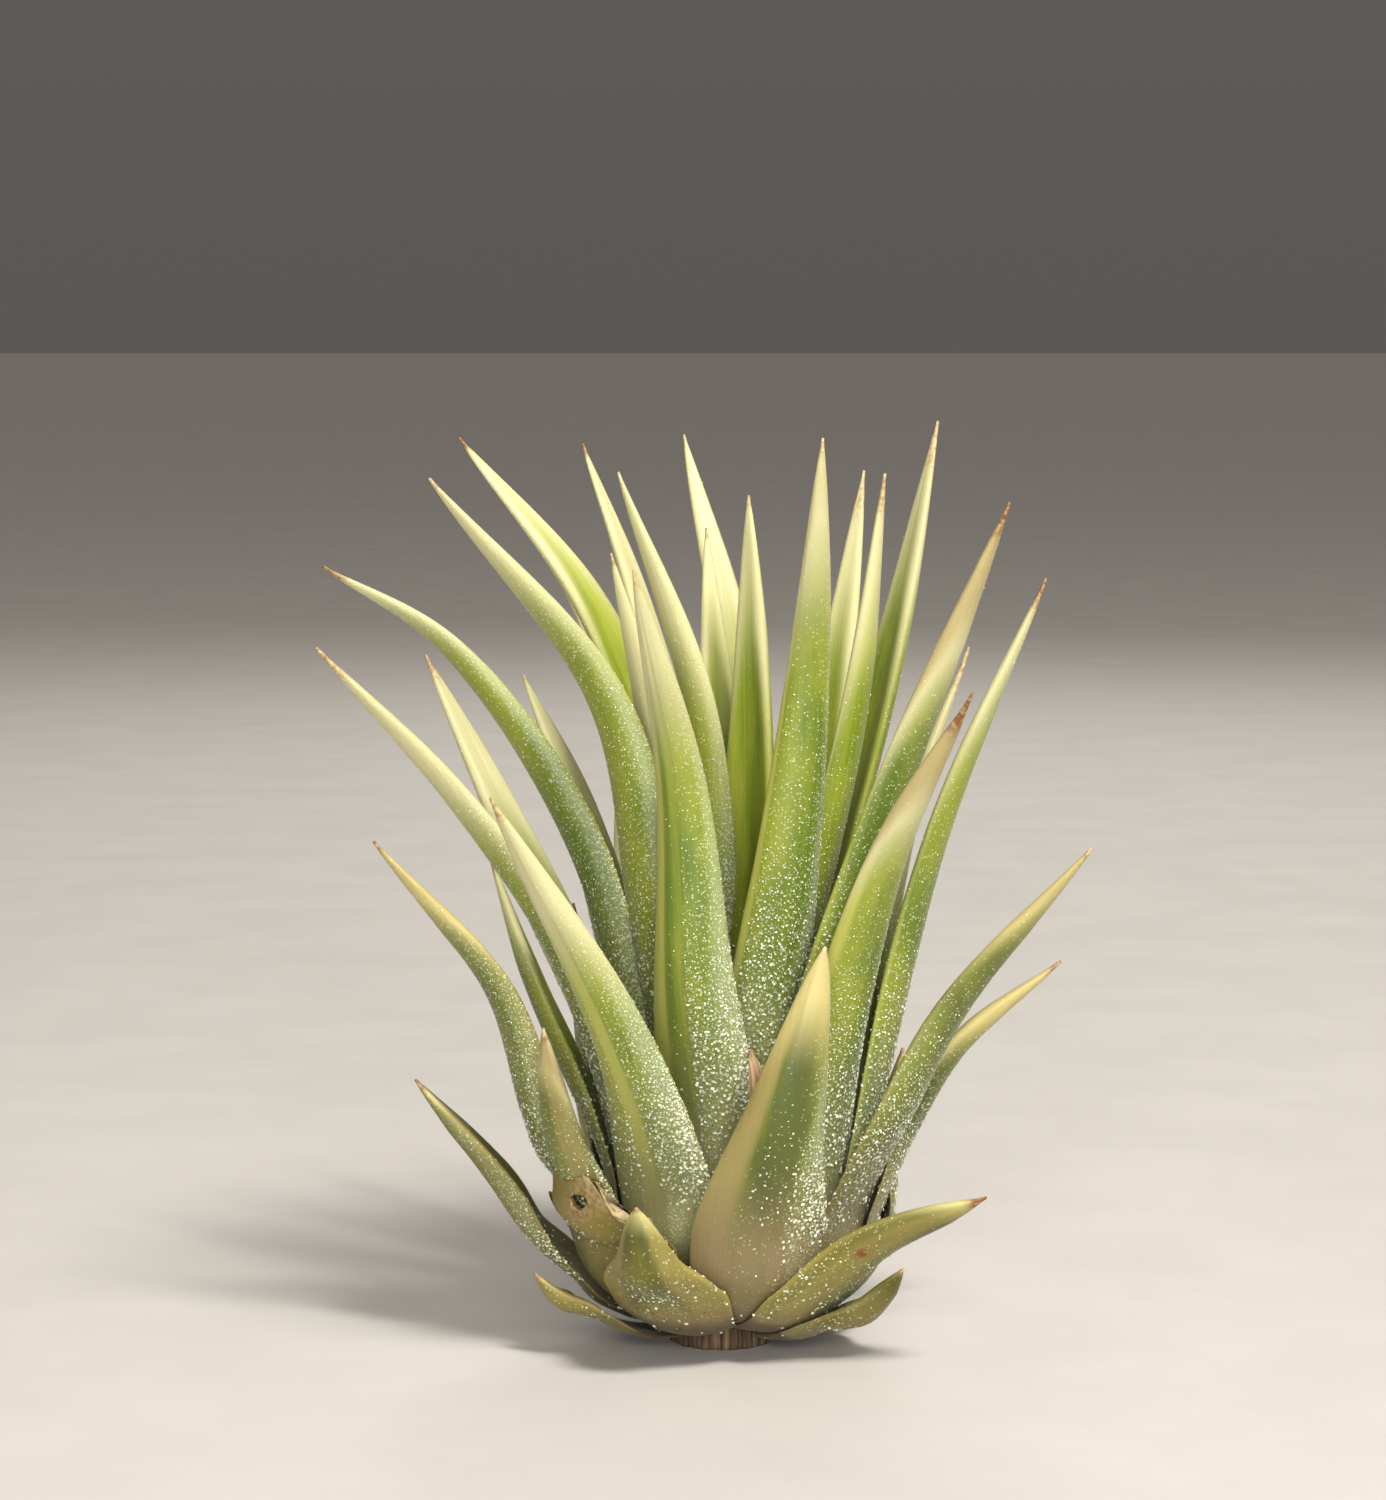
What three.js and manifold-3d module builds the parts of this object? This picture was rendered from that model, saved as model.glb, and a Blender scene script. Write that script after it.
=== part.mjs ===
// A small air plant: a rosette of stiff, tapering leaves round a short woody stem.
// Millimetres, +Z up. The origin is the middle of the stem's flat underside, on the
// surface that the plant stands on, and -Y is the side that is seen first.

import * as THREE from 'three';
import { mergeVertices } from 'three/addons/utils/BufferGeometryUtils.js';
import Module from 'manifold-3d';

const wasm = await Module();
wasm.setup();

// ---- stem and bulb ----
const STEM_FOOT_RADIUS = 4.5;
const STEM_NECK_RADIUS = 1.2;
const STEM_HEIGHT = 14.5;
const STEM_DOME = 0.6;         // the rounded top above the neck
const STEM_SIDES = 18;
const BULB_RADIUS = 14.2;      // out to the middle line of the outermost sheaths
const BULB_RISE = 8.5;         // from a leaf's root up to where the bulb is widest
const BELLY_SHARES = [0.12, 0.45]; // two places on the way, where the bulb turns upward
const HIP_POINT = 1 + BELLY_SHARES.length; // the widest place, among a middle line's points
const FIRST_ROOT_HEIGHT = 0.9;
const LAYER_STEP = 0.82;       // each layer of sheaths lies this much inside the last
const ROOT_STEP = 0.88;        // and is rooted this much higher up the stem
const GAP = 0.3;               // clear space between neighbours

// ---- a leaf's cross-section and taper ----
const SHEATH_THICKNESS = 0.62;
const BLADE_THICKNESS = 1.35;
const TIP_THICKNESS = 0.6;
const TIP_WIDTH = 0.6;
const TIP_ANGLE = 0.3;         // half the angle of what is left of the gutter at the tip
const FULL_FORM_WIDTH = 3;     // a blade narrower than this turns into the tip's section
const ROOT_WIDTH_SHARE = 0.62;
const SHEATH_ANGLE_LIMIT = 0.62; // half the angle that a sheath may reach round the bulb
const CHANNEL_ANGLE = 0.95;    // half the angle that a blade's gutter is rolled through
const OPENED_SHARE = 0.35;     // how far up the blade it has its own full width
const ROLLED_SHARE = 0.45;     // and its own thickness and gutter
const TAPER_POWER = 0.76;
const TWISTED_SHARE = 0.6;     // how far up the blade a twist is complete
const STATIONS = 13;           // rings of points along a leaf
const CROWDING = 0.75;         // how far the rings are drawn towards the bulb
const CROWDING_POWER = 1.5;
const LENGTH_SAMPLES = 240;
const OUTER_SPOTS = [-1, -0.5, 0, 0.5, 1];
const INNER_SPOTS = [0.5, 0, -0.5];

// ---- the torn sheath ----
const TORN_THICKNESS = 0.85;
const TORN_TAPER = 0.16;
const TORN_ROLL = 0.62;
const RAG_HEIGHT = 0.55;
const RAG_TURNS = 7;
const RAG_START = 1;
const HOLE_RADIUS = 0.8;
const HOLE_SIDES = 7;
const HOLE_SHARE = 0.93;       // how far up the sheath the hole is
const HOLE_SIDESTEP = 0.4;     // and how far to the left of its middle line

// ---- colours ----
const OUTER_GREEN = new THREE.Color(0x8c9c52);
const HEART_GREEN = new THREE.Color(0xbccb66);
const DRY_TAN = new THREE.Color(0xb0a06a);
const DRY_BROWN = new THREE.Color(0x8f7358);
const STEM_BROWN = new THREE.Color(0x6f5a44);
const LEAF_ROUGHNESS = 0.6;
const DRY_ROUGHNESS = 0.85;

function vector([x, y, z]) {
  return new THREE.Vector3(x, y, z);
}

function outwards(turn) {
  const angle = THREE.MathUtils.degToRad(turn);
  return new THREE.Vector3(Math.cos(angle), Math.sin(angle), 0);
}

function stemRadius(height) {
  const share = Math.min(height / STEM_HEIGHT, 1);
  return THREE.MathUtils.lerp(STEM_FOOT_RADIUS, STEM_NECK_RADIUS, share);
}

// The rows run from the outermost leaf to the heart: name, the way the root faces in
// degrees from +X, the width over the bulb, then points on the blade's middle line and
// the tip. Low leaves leave the bulb before its widest place, so a rise is given too.
const LEAVES = [
  leaf('low_left_small', 207, 6, [[-12.6, -6.3, 4.6], [-14.5, -7, 6.8]], 2.2),
  leaf('low_back_small', 95, 7, [[-1.2, 13.5, 5], [-1.5, 17.5, 9]], 1.6),
  leaf('low_right_under', 330, 9, [[11.2, -6.8, 3.5], [14, -7, 7.2]], 1.4),
  leaf('low_front_small', 247, 10.5, [[-5.9, -14.4, 8.5], [-6.5, -15.6, 14]], 4),
  leaf('low_back_right', 40, 8, [[10.5, 10, 9.5], [13, 15, 16]], 4),
  leaf('low_left', 181, 9, [[-14.7, -1.4, 8.4], [-17.7, -2.4, 13.4], [-23.9, -3, 21.3]], 4),
  leaf('low_right', 312, 10.5, [[12.5, -11.5, 10.2], [19.9, -13, 14.2]], 3),
  leaf('low_back_left', 130, 8, [[-9, 12.5, 10.5], [-12, 17, 17]], 4),
  torn(leaf('torn_sheath', 223, 13, [[-10.1, -10, 11.2], [-10.6, -10.7, 15]], 7)),
  leaf('back_low', 72, 9, [[4, 17, 17], [5, 25, 27]]),
  leaf('right_hidden', 8, 8, [[13.4, 2.5, 15], [14.4, 3, 22.7]]),
  leaf('front_broad', 284, 11, [[5.2, -15, 21.5], [7.6, -14.5, 33.6]]),
  leaf('left_yellow', 212, 9, [[-12.5, -9.8, 17.5], [-13.6, -11, 26.8]], 7),
  leaf('right_low', 356, 8, [[18.5, 0.3, 23], [26.7, 1, 30]]),
  leaf('left_low', 199, 8.5, [[-13.3, -3.8, 14.8], [-14.7, -5.6, 19], [-17.5, -7, 29], [-26.4, -10, 40.9]], 7.5),
  leaf('back_left_low', 155, 8, [[-10.5, 7.5, 20], [-12, 12, 33]]),
  leaf('right_mid', 334, 9, [[14, -8.8, 20], [18.2, -9, 28.3], [27.6, -13, 40.8]]),
  leaf('back_mid', 105, 8.5, [[-3, 17, 21], [-4, 27, 32.5]]),
  leaf('back_right_low', 48, 8.5, [[8.5, 12, 22], [12, 21, 34.5]]),
  dry(leaf('dry_bract', 285, 5, [[3.4, -11.8, 19], [2.1, -11.6, 25.2]])),
  leaf('left_dark', 180, 7, [[-14.2, -3, 27.5], [-18, -3, 38.9]]),
  leaf('front_left', 242, 8.6, [[-8.5, -16, 27.7], [-17.1, -19, 45.3]]),
  leaf('right_tall', 350, 9, [[17.2, -4, 41.8], [24.7, -5, 60.5]]),
  leaf('back_left_mid', 128, 8, [[-7, 14, 27.5], [-8.5, 24, 43.3]]),
  leaf('left_mid', 205, 9.5, [[-12.5, -9, 32], [-20.6, -10.5, 44.7], [-30.2, -14, 55.9]]),
  leaf('front_right', 312, 9.5, [[12.6, -13.5, 40], [18.2, -18, 52.9]]),
  leaf('back_high', 80, 8, [[2, 14, 29.5], [3.5, 24, 45]]),
  twisted(leaf('left_back', 165, 8, [[-17.9, 4.5, 42], [-23.7, 9, 53.5]]), -30),
  leaf('right_back', 12, 8, [[15.5, 4.5, 43], [19.8, 8, 54.2]]),
  leaf('front', 262, 9.2, [[-2.3, -13, 29.4], [-3.3, -14.5, 46], [-6.6, -19, 61.9]]),
  twisted(leaf('left_far', 148, 7.5, [[-11.6, 11, 41], [-16.2, 16, 51.3]]), -20),
  leaf('right_front', 328, 10, [[9.9, -8.2, 33], [14.7, -9.5, 48.7], [21.2, -13, 66.6]]),
  twisted(leaf('left_high', 190, 8, [[-11.5, -3, 40.5], [-21, -3, 55], [-30.7, -3, 61.3]]), 28),
  leaf('back_right_high', 28, 7.5, [[8.5, 8.5, 32.5], [12, 16, 48.5]]),
  leaf('front_high', 292, 8.8, [[5.1, -9.4, 37.8], [6.7, -10.5, 55.5], [7.3, -14, 71.4]]),
  leaf('front_left_high', 222, 9.5, [[-6, -8.7, 36], [-9.1, -10, 51.5], [-21.8, -13, 68.4]]),
  leaf('right_high', 35, 8.5, [[13, 6.5, 51], [17.5, 13, 72.1]]),
  leaf('back_left_high', 125, 7.5, [[-9, 9, 52], [-15.4, 16, 64.5]]),
  leaf('heart_front', 245, 6.5, [[-5.2, -7.2, 48], [-8.4, -10, 62.7]]),
  leaf('heart_right', 335, 8, [[10, -5, 48.1], [12.2, -8, 68.6]]),
  twisted(leaf('heart_far_left', 178, 8.5, [[-5, 0, 43], [-10.4, 1, 58], [-20.6, 4, 71]]), -45),
  leaf('heart_back_right', 60, 7.5, [[8.8, 7.5, 50], [11.6, 14, 68.1]]),
  leaf('heart_back', 98, 8, [[1.3, 10.5, 50], [-3, 18, 70.9]]),
  leaf('heart_left', 145, 7.5, [[-3, 4.8, 40], [-6.8, 6.5, 58.2], [-11.1, 11, 70.3]]),
  leaf('heart_centre', 50, 9, [[2.7, 3, 47], [2.1, 4, 66.5]]),
  leaf('heart_middle', 105, 7, [[-0.4, 6.8, 48], [-1.2, 11, 63.6]]),
  leaf('heart_near_left', 215, 8, [[-2.1, -1, 50], [-8, -2, 68.5]]),
];

function leaf(name, turn, width, line, rise = BULB_RISE) {
  return { name, turn, width, line, rise, twist: 0, kind: 'leaf' };
}

// A leaf whose blade turns about its own middle line, by so many degrees.
function twisted(row, twist) {
  return { ...row, twist };
}

// What is left of a leaf that broke off: its sheath, with a ragged rim and a hole.
function torn(row) {
  return { ...row, kind: 'torn' };
}

function dry(row) {
  return { ...row, kind: 'dry' };
}

// ---- how the sheaths pack into a bulb ----

function bulbRadius(layer, rise) {
  const foot = stemRadius(rootHeight(layer)) + GAP;
  const full = BULB_RADIUS - layer * LAYER_STEP;
  const fullness = Math.sqrt(1 - (1 - rise / BULB_RISE) ** 2);
  return THREE.MathUtils.lerp(foot, full, fullness);
}

function rootHeight(layer) {
  return FIRST_ROOT_HEIGHT + layer * ROOT_STEP;
}

function sheathAngle(row, layer) {
  return Math.min(row.width / 2 / bulbRadius(layer, row.rise), SHEATH_ANGLE_LIMIT);
}

function turnBetween(a, b) {
  const turn = Math.abs(a - b) % 360;
  return THREE.MathUtils.degToRad(Math.min(turn, 360 - turn));
}

// A sheath goes into the first layer inside every sheath that it would lie against.
function packLayers(rows) {
  rows.forEach((row, index) => {
    row.layer = 0;
    for (const outer of rows.slice(0, index)) {
      const reach = sheathAngle(row, outer.layer) + sheathAngle(outer, outer.layer);
      const room = GAP / bulbRadius(outer.layer, outer.rise);
      if (turnBetween(row.turn, outer.turn) < reach + room) {
        row.layer = Math.max(row.layer, outer.layer + 1);
      }
    }
  });
}

// ---- one leaf ----

function middleLine(row) {
  const out = outwards(row.turn);
  const height = rootHeight(row.layer);
  const root = out.clone().multiplyScalar(stemRadius(height) + GAP).setZ(height);
  const onBulb = (rise) => out.clone()
    .multiplyScalar(bulbRadius(row.layer, rise))
    .setZ(height + rise);
  const belly = BELLY_SHARES.map((share) => onBulb(row.rise * share));
  const points = [root, ...belly, onBulb(row.rise), ...row.line.map(vector)];
  return new THREE.CatmullRomCurve3(points, false, 'centripetal');
}

// Rings lie closer together over the bulb, where the line bends most.
function stationShare(index) {
  const share = index / (STATIONS - 1);
  return THREE.MathUtils.lerp(share, share ** CROWDING_POWER, CROWDING);
}

// How far along the middle line the bulb's widest place is.
function hipShare(curve) {
  const lengths = curve.getLengths(LENGTH_SAMPLES);
  const hipIndex = Math.round(HIP_POINT * LENGTH_SAMPLES / (curve.points.length - 1));
  return lengths[hipIndex] / lengths[LENGTH_SAMPLES];
}

function shareUpBlade(share, hip) {
  return THREE.MathUtils.clamp((share - hip) / (1 - hip), 0, 1);
}

function sectionAt(row, share, hip) {
  const { lerp, smoothstep } = THREE.MathUtils;
  const overBulb = Math.min(share / hip, 1);
  const upBlade = shareUpBlade(share, hip);
  const sheathWidth = 2 * sheathAngle(row, row.layer) * bulbRadius(row.layer, row.rise);
  const growth = lerp(ROOT_WIDTH_SHARE, 1, Math.sin(overBulb * Math.PI / 2));
  const full = growth * lerp(sheathWidth, row.width, smoothstep(upBlade, 0, OPENED_SHARE));
  const rolled = smoothstep(upBlade, 0, ROLLED_SHARE);
  if (row.kind === 'torn') {
    return {
      width: full * (1 - TORN_TAPER * upBlade),
      thickness: lerp(SHEATH_THICKNESS, TORN_THICKNESS, rolled),
      angle: lerp(sheathAngle(row, row.layer), TORN_ROLL, rolled),
    };
  }
  const width = Math.max(full * (1 - upBlade) ** TAPER_POWER, TIP_WIDTH);
  const fullForm = Math.min(1, width / FULL_FORM_WIDTH);
  const thickness = lerp(SHEATH_THICKNESS, BLADE_THICKNESS, rolled);
  const angle = lerp(sheathAngle(row, row.layer), CHANNEL_ANGLE, rolled);
  return {
    width,
    thickness: lerp(TIP_THICKNESS, thickness, fullForm),
    angle: lerp(TIP_ANGLE, angle, fullForm),
  };
}

// A crescent: the outer face is rounded, the inner face is a gutter, and both meet at
// the margins. A spot runs from -1 at one margin to 1 at the other.
function ringPoints(centre, across, out, section) {
  const radius = section.width / (2 * section.angle);
  const place = (spot, side) => {
    const halfThickness = Math.sqrt(1 - spot * spot) * section.thickness / 2;
    const reach = radius + side * halfThickness;
    const turn = section.angle * spot;
    return centre.clone()
      .addScaledVector(across, reach * Math.sin(turn))
      .addScaledVector(out, reach * Math.cos(turn) - radius);
  };
  const outer = OUTER_SPOTS.map((spot) => place(spot, 1));
  const inner = INNER_SPOTS.map((spot) => place(spot, -1));
  return [...outer, ...inner];
}

// Walks along the middle line and carries the leaf's crosswise direction with it, so
// that the blade bends without twisting more than its row says.
function frames(row) {
  const curve = middleLine(row);
  const hip = hipShare(curve);
  const across = outwards(row.turn + 90);
  return Array.from({ length: STATIONS }, (_, index) => {
    const share = stationShare(index);
    const along = curve.getTangentAt(share);
    across.addScaledVector(along, -across.dot(along)).normalize();
    const twistShare = THREE.MathUtils.smoothstep(shareUpBlade(share, hip), 0, TWISTED_SHARE);
    const twist = THREE.MathUtils.degToRad(row.twist) * twistShare;
    const turned = across.clone().applyAxisAngle(along, twist);
    return {
      centre: curve.getPointAt(share),
      along,
      across: turned,
      out: turned.clone().cross(along).normalize(),
      section: sectionAt(row, share, hip),
    };
  });
}

// spare widens every section, which gives the space that a neighbour keeps clear of.
function leafSolid(row, spare = 0) {
  const rings = frames(row);
  rings[0].centre.addScaledVector(rings[0].along, -spare);
  rings.at(-1).centre.addScaledVector(rings.at(-1).along, spare);
  const points = rings.map(({ centre, across, out, section }) => ringPoints(centre, across, out, {
    width: section.width + 2 * spare,
    thickness: section.thickness + 2 * spare,
    angle: section.angle,
  }));
  if (row.kind === 'torn') tearRim(points.at(-1), rings.at(-1).along);
  const positions = points.flat().flatMap((point) => point.toArray());
  return manifoldOf(positions, leafFaces());
}

function tearRim(rim, along) {
  [...OUTER_SPOTS, ...INNER_SPOTS].forEach((spot, index) => {
    rim[index].addScaledVector(along, RAG_HEIGHT * Math.sin(RAG_TURNS * spot + RAG_START));
  });
}

function holeThrough(row) {
  const rings = frames(row);
  const ring = rings[Math.round(HOLE_SHARE * (STATIONS - 1))];
  const drill = new THREE.CylinderGeometry(HOLE_RADIUS, HOLE_RADIUS, BULB_RISE, HOLE_SIDES);
  const aim = new THREE.Quaternion().setFromUnitVectors(new THREE.Vector3(0, 1, 0), ring.out);
  const place = ring.centre.clone().addScaledVector(ring.across, -HOLE_SIDESTEP);
  drill.applyQuaternion(aim).translate(...place.toArray());
  drill.deleteAttribute('normal');
  drill.deleteAttribute('uv');
  const merged = mergeVertices(drill);
  return manifoldOf([...merged.attributes.position.array], [...merged.index.array]);
}

// A ring's points, paired across the leaf from one margin to the other.
function crossPairs() {
  const last = OUTER_SPOTS.length - 1;
  return OUTER_SPOTS.map((_, outer) => {
    const margin = outer === 0 || outer === last;
    return [outer, margin ? outer : last + INNER_SPOTS.length + 1 - outer];
  });
}

// The sides of a leaf, split alike on its outer and inner face, and its two closed ends.
function leafFaces() {
  const sides = OUTER_SPOTS.length + INNER_SPOTS.length;
  const faces = [];
  for (let ring = 0; ring < STATIONS - 1; ring += 1) {
    for (let side = 0; side < sides; side += 1) {
      const a = ring * sides + side;
      const b = ring * sides + (side + 1) % sides;
      faces.push(a, b, b + sides, a, b + sides, a + sides);
    }
  }
  const tip = (STATIONS - 1) * sides;
  const pairs = crossPairs();
  pairs.slice(1).forEach(([outer, inner], index) => {
    const [outerBefore, innerBefore] = pairs[index];
    if (inner !== outer) {
      faces.push(outerBefore, inner, outer);
      faces.push(tip + outerBefore, tip + outer, tip + inner);
    }
    if (innerBefore !== outerBefore) {
      faces.push(outerBefore, innerBefore, inner);
      faces.push(tip + outerBefore, tip + inner, tip + innerBefore);
    }
  });
  return faces;
}

function manifoldOf(positions, faces) {
  return new wasm.Manifold(new wasm.Mesh({
    numProp: 3,
    vertProperties: new Float32Array(positions),
    triVerts: new Uint32Array(faces),
  }));
}

function geometryOf(manifold) {
  const mesh = manifold.getMesh();
  const geometry = new THREE.BufferGeometry();
  geometry.setAttribute('position', new THREE.BufferAttribute(mesh.vertProperties, 3));
  geometry.setIndex(new THREE.BufferAttribute(mesh.triVerts, 1));
  return geometry;
}

// ---- clear space between the leaves ----

function boxesMeet(a, b) {
  return [0, 1, 2].every((axis) => a.min[axis] < b.max[axis] && b.min[axis] < a.max[axis]);
}

function largest(manifold) {
  return manifold.decompose().sort((a, b) => b.volume() - a.volume())[0];
}

// Where a leaf would cut into one that lies outside it, its own edge gives way.
function clearOf(body, placed) {
  const crossed = placed.filter(({ solid }) => (
    boxesMeet(body.boundingBox(), solid.boundingBox())
    && body.intersect(solid).volume() > 0
  ));
  const trimmed = crossed.reduce((left, { row }) => left.subtract(leafSolid(row, GAP)), body);
  return largest(trimmed);
}

function buildLeaves(rows) {
  const placed = [];
  for (const row of rows) {
    const whole = leafSolid(row);
    const shaped = row.kind === 'torn' ? whole.subtract(holeThrough(row)) : whole;
    placed.push({ row, solid: clearOf(shaped, placed) });
  }
  return placed;
}

// ---- materials and assembly ----

function leafMaterial(row, innermost) {
  const colour = {
    leaf: OUTER_GREEN.clone().lerp(HEART_GREEN, row.layer / innermost),
    torn: DRY_TAN,
    dry: DRY_BROWN,
  }[row.kind];
  const roughness = row.kind === 'leaf' ? LEAF_ROUGHNESS : DRY_ROUGHNESS;
  return new THREE.MeshStandardMaterial({ color: colour, roughness, metalness: 0 });
}

function stemMesh() {
  const profile = [
    [0, 0],
    [STEM_FOOT_RADIUS, 0],
    [STEM_NECK_RADIUS, STEM_HEIGHT],
    [0, STEM_HEIGHT + STEM_DOME],
  ].map(([radius, height]) => new THREE.Vector2(radius, height));
  const geometry = new THREE.LatheGeometry(profile, STEM_SIDES).rotateX(Math.PI / 2);
  const bark = new THREE.MeshStandardMaterial({
    color: STEM_BROWN, roughness: DRY_ROUGHNESS, metalness: 0,
  });
  const mesh = new THREE.Mesh(geometry, bark);
  mesh.name = 'stem';
  return mesh;
}

function buildPlant() {
  const plant = new THREE.Group();
  plant.add(stemMesh());
  packLayers(LEAVES);
  const innermost = Math.max(...LEAVES.map((row) => row.layer));
  for (const { row, solid } of buildLeaves(LEAVES)) {
    const mesh = new THREE.Mesh(geometryOf(solid), leafMaterial(row, innermost));
    mesh.name = row.kind === 'leaf' ? `leaf_${row.name}` : row.name;
    plant.add(mesh);
  }
  return plant;
}

export default buildPlant();
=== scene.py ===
"""A small tufted air plant, 72 mm tall, standing by itself on a pale surface.

It is dressed from the outside in, as the plant is laid: the woody stem, the low leaves
round its foot, a torn sheath, the outer leaves, a dry bract, the middle leaves and the
heart. Lengths are the plant's own, in millimetres; MM turns them into metres.
"""

import math

import bpy
import numpy as np
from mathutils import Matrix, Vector, kdtree


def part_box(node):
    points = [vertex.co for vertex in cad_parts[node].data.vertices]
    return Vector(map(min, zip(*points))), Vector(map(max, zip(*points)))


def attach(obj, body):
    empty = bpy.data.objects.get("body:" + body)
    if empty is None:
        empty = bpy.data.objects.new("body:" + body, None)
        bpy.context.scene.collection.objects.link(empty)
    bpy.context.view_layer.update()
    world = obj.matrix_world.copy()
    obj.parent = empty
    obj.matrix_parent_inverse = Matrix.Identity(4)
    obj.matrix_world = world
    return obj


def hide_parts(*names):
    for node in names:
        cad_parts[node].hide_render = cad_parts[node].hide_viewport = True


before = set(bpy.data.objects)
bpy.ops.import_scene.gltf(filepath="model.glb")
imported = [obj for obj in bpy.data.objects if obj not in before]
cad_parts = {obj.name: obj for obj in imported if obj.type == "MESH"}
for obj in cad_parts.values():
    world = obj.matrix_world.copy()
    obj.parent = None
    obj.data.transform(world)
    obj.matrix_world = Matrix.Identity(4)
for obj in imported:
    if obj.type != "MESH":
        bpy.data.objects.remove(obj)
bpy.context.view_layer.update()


# ---- Stem ----
# The short stem that every leaf grows from: a stub of old brown fibre, widest at its
# foot, where the oldest leaves and the roots have rotted away. The bulb hides most of
# it, and the plant stands on its worn underside.

MM = 0.001
STEM_FOOT_RADIUS = 4.5
STEM_NECK_RADIUS = 1.2
STEM_HEIGHT = 14.5
STEM_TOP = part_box("stem")[1].z / MM
STEM_SIDES = 96
STEM_STEPS = 48
FIBRE_DEPTH = 0.07         # share of the stem's radius that the furrows take away
FIBRE_COUNTS = (13, 29)    # furrows round the stem, broad and narrow
BROAD_SHARE = 0.6          # how much of the depth the broad furrows have
FIBRE_DRIFT = 0.35         # how far a furrow wanders round as it climbs
FIBRE_WAVE = 0.9           # radians of that wandering for each millimetre
WORN_RIM = 0.25            # rounding where the side meets the underside
FIBRE_STRETCH = 0.09       # how quickly a fibre changes along itself, against 1 across
BLOTCH_STRETCH = 0.3       # the same for a blotch
STEM_DARK = 0x3d2c1f
STEM_LIGHT = 0x8a7152
DAMP_STRENGTH = 0.6


def linear(hex_colour):
    """A colour given as #rrggbb, in the linear light that shaders take."""
    parts = [(hex_colour >> shift & 255) / 255 for shift in (16, 8, 0)]
    return [c / 12.92 if c <= 0.04045 else ((c + 0.055) / 1.055) ** 2.4 for c in parts] + [1]


def fill(tree, socket, value):
    """Links a socket to another node's output, or sets it to a value."""
    if isinstance(value, bpy.types.NodeSocket):
        tree.links.new(value, socket)
    else:
        socket.default_value = value


def add(tree, kind, inputs=None, **settings):
    """A node with its settings, its inputs filled."""
    node = tree.nodes.new(kind)
    for setting, value in settings.items():
        setattr(node, setting, value)
    for socket, value in (inputs or {}).items():
        fill(tree, node.inputs[socket], value)
    return node


def calculate(tree, operation, first, second):
    return add(tree, "ShaderNodeMath", {0: first, 1: second}, operation=operation).outputs[0]


def fade(tree, value, start, end, low=0.0, high=1.0):
    """A soft step from low to high while the value goes from start to end."""
    sockets = {"Value": value, "From Min": start, "From Max": end, "To Min": low, "To Max": high}
    node = add(tree, "ShaderNodeMapRange", sockets, interpolation_type="SMOOTHSTEP")
    return node.outputs["Result"]


def blend(tree, amount, under, over):
    """One colour laid over another."""
    sockets = {0: amount, 6: under, 7: over}
    return add(tree, "ShaderNodeMix", sockets, data_type="RGBA").outputs[2]


def noise(tree, place, scale, detail):
    sockets = {"Vector": place, "Scale": scale, "Detail": detail}
    return add(tree, "ShaderNodeTexNoise", sockets).outputs["Fac"]


def stretched(tree, place, factors):
    """A place on the skin, stretched by a factor in each of its directions."""
    sockets = {0: place, 1: factors}
    return add(tree, "ShaderNodeVectorMath", sockets, operation="MULTIPLY").outputs[0]


def effect(name, inputs, outputs):
    """An empty node group with named inputs and outputs, for an effect that is shared."""
    group = bpy.data.node_groups.new(name, "ShaderNodeTree")
    for socket, kind, value in inputs:
        made = group.interface.new_socket(name=socket, in_out="INPUT", socket_type=kind)
        if value is not None:
            made.default_value = value
    for socket, kind in outputs:
        group.interface.new_socket(name=socket, in_out="OUTPUT", socket_type=kind)
    return group, add(group, "NodeGroupInput").outputs, add(group, "NodeGroupOutput").inputs


def place_effect(tree, group, inputs):
    """The outputs of a shared effect, placed in a material with its own values."""
    return add(tree, "ShaderNodeGroup", inputs, node_tree=group).outputs


def make_fibres():
    """Fibres: fine lines that run lengthwise in a leaf or the stem, a few to each mm."""
    group, given, result = effect(
        "lengthwise_fibres",
        [("Skin", "NodeSocketVector", None), ("Lines per mm", "NodeSocketFloat", 3.0)],
        [("Lines", "NodeSocketFloat")],
    )
    factors = {"X": given["Lines per mm"], "Y": FIBRE_STRETCH, "Z": 1.0}
    drawn = stretched(group, given["Skin"], add(group, "ShaderNodeCombineXYZ", factors).outputs[0])
    group.links.new(fade(group, noise(group, drawn, 1.0, 2.0), 0.32, 0.68), result["Lines"])
    return group


def make_blotches():
    """Soft uneven patches, longer than they are wide, as a living leaf has."""
    group, given, result = effect(
        "soft_blotches",
        [("Skin", "NodeSocketVector", None), ("Patches per mm", "NodeSocketFloat", 0.3)],
        [("Patch", "NodeSocketFloat")],
    )
    drawn = stretched(group, given["Skin"], (1.0, BLOTCH_STRETCH, 1.0))
    patches = noise(group, drawn, given["Patches per mm"], 3.0)
    group.links.new(fade(group, patches, 0.35, 0.65), result["Patch"])
    return group


FIBRES, BLOTCHES = make_fibres(), make_blotches()


def mark(tree, name):
    """What a piece's mesh says at each point: its place on the skin, or how it is painted."""
    return add(tree, "ShaderNodeAttribute", attribute_name=name).outputs["Vector"]


def split(tree, vector):
    return add(tree, "ShaderNodeSeparateXYZ", {0: vector}).outputs


def new_material(name):
    """A material with only its Principled shader and output."""
    material = bpy.data.materials.new(name)
    material.use_nodes = True
    return material, material.node_tree, material.node_tree.nodes["Principled BSDF"]


def connect(tree, shader, sockets):
    for socket, value in sockets.items():
        tree.links.new(value, shader.inputs[socket])


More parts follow.
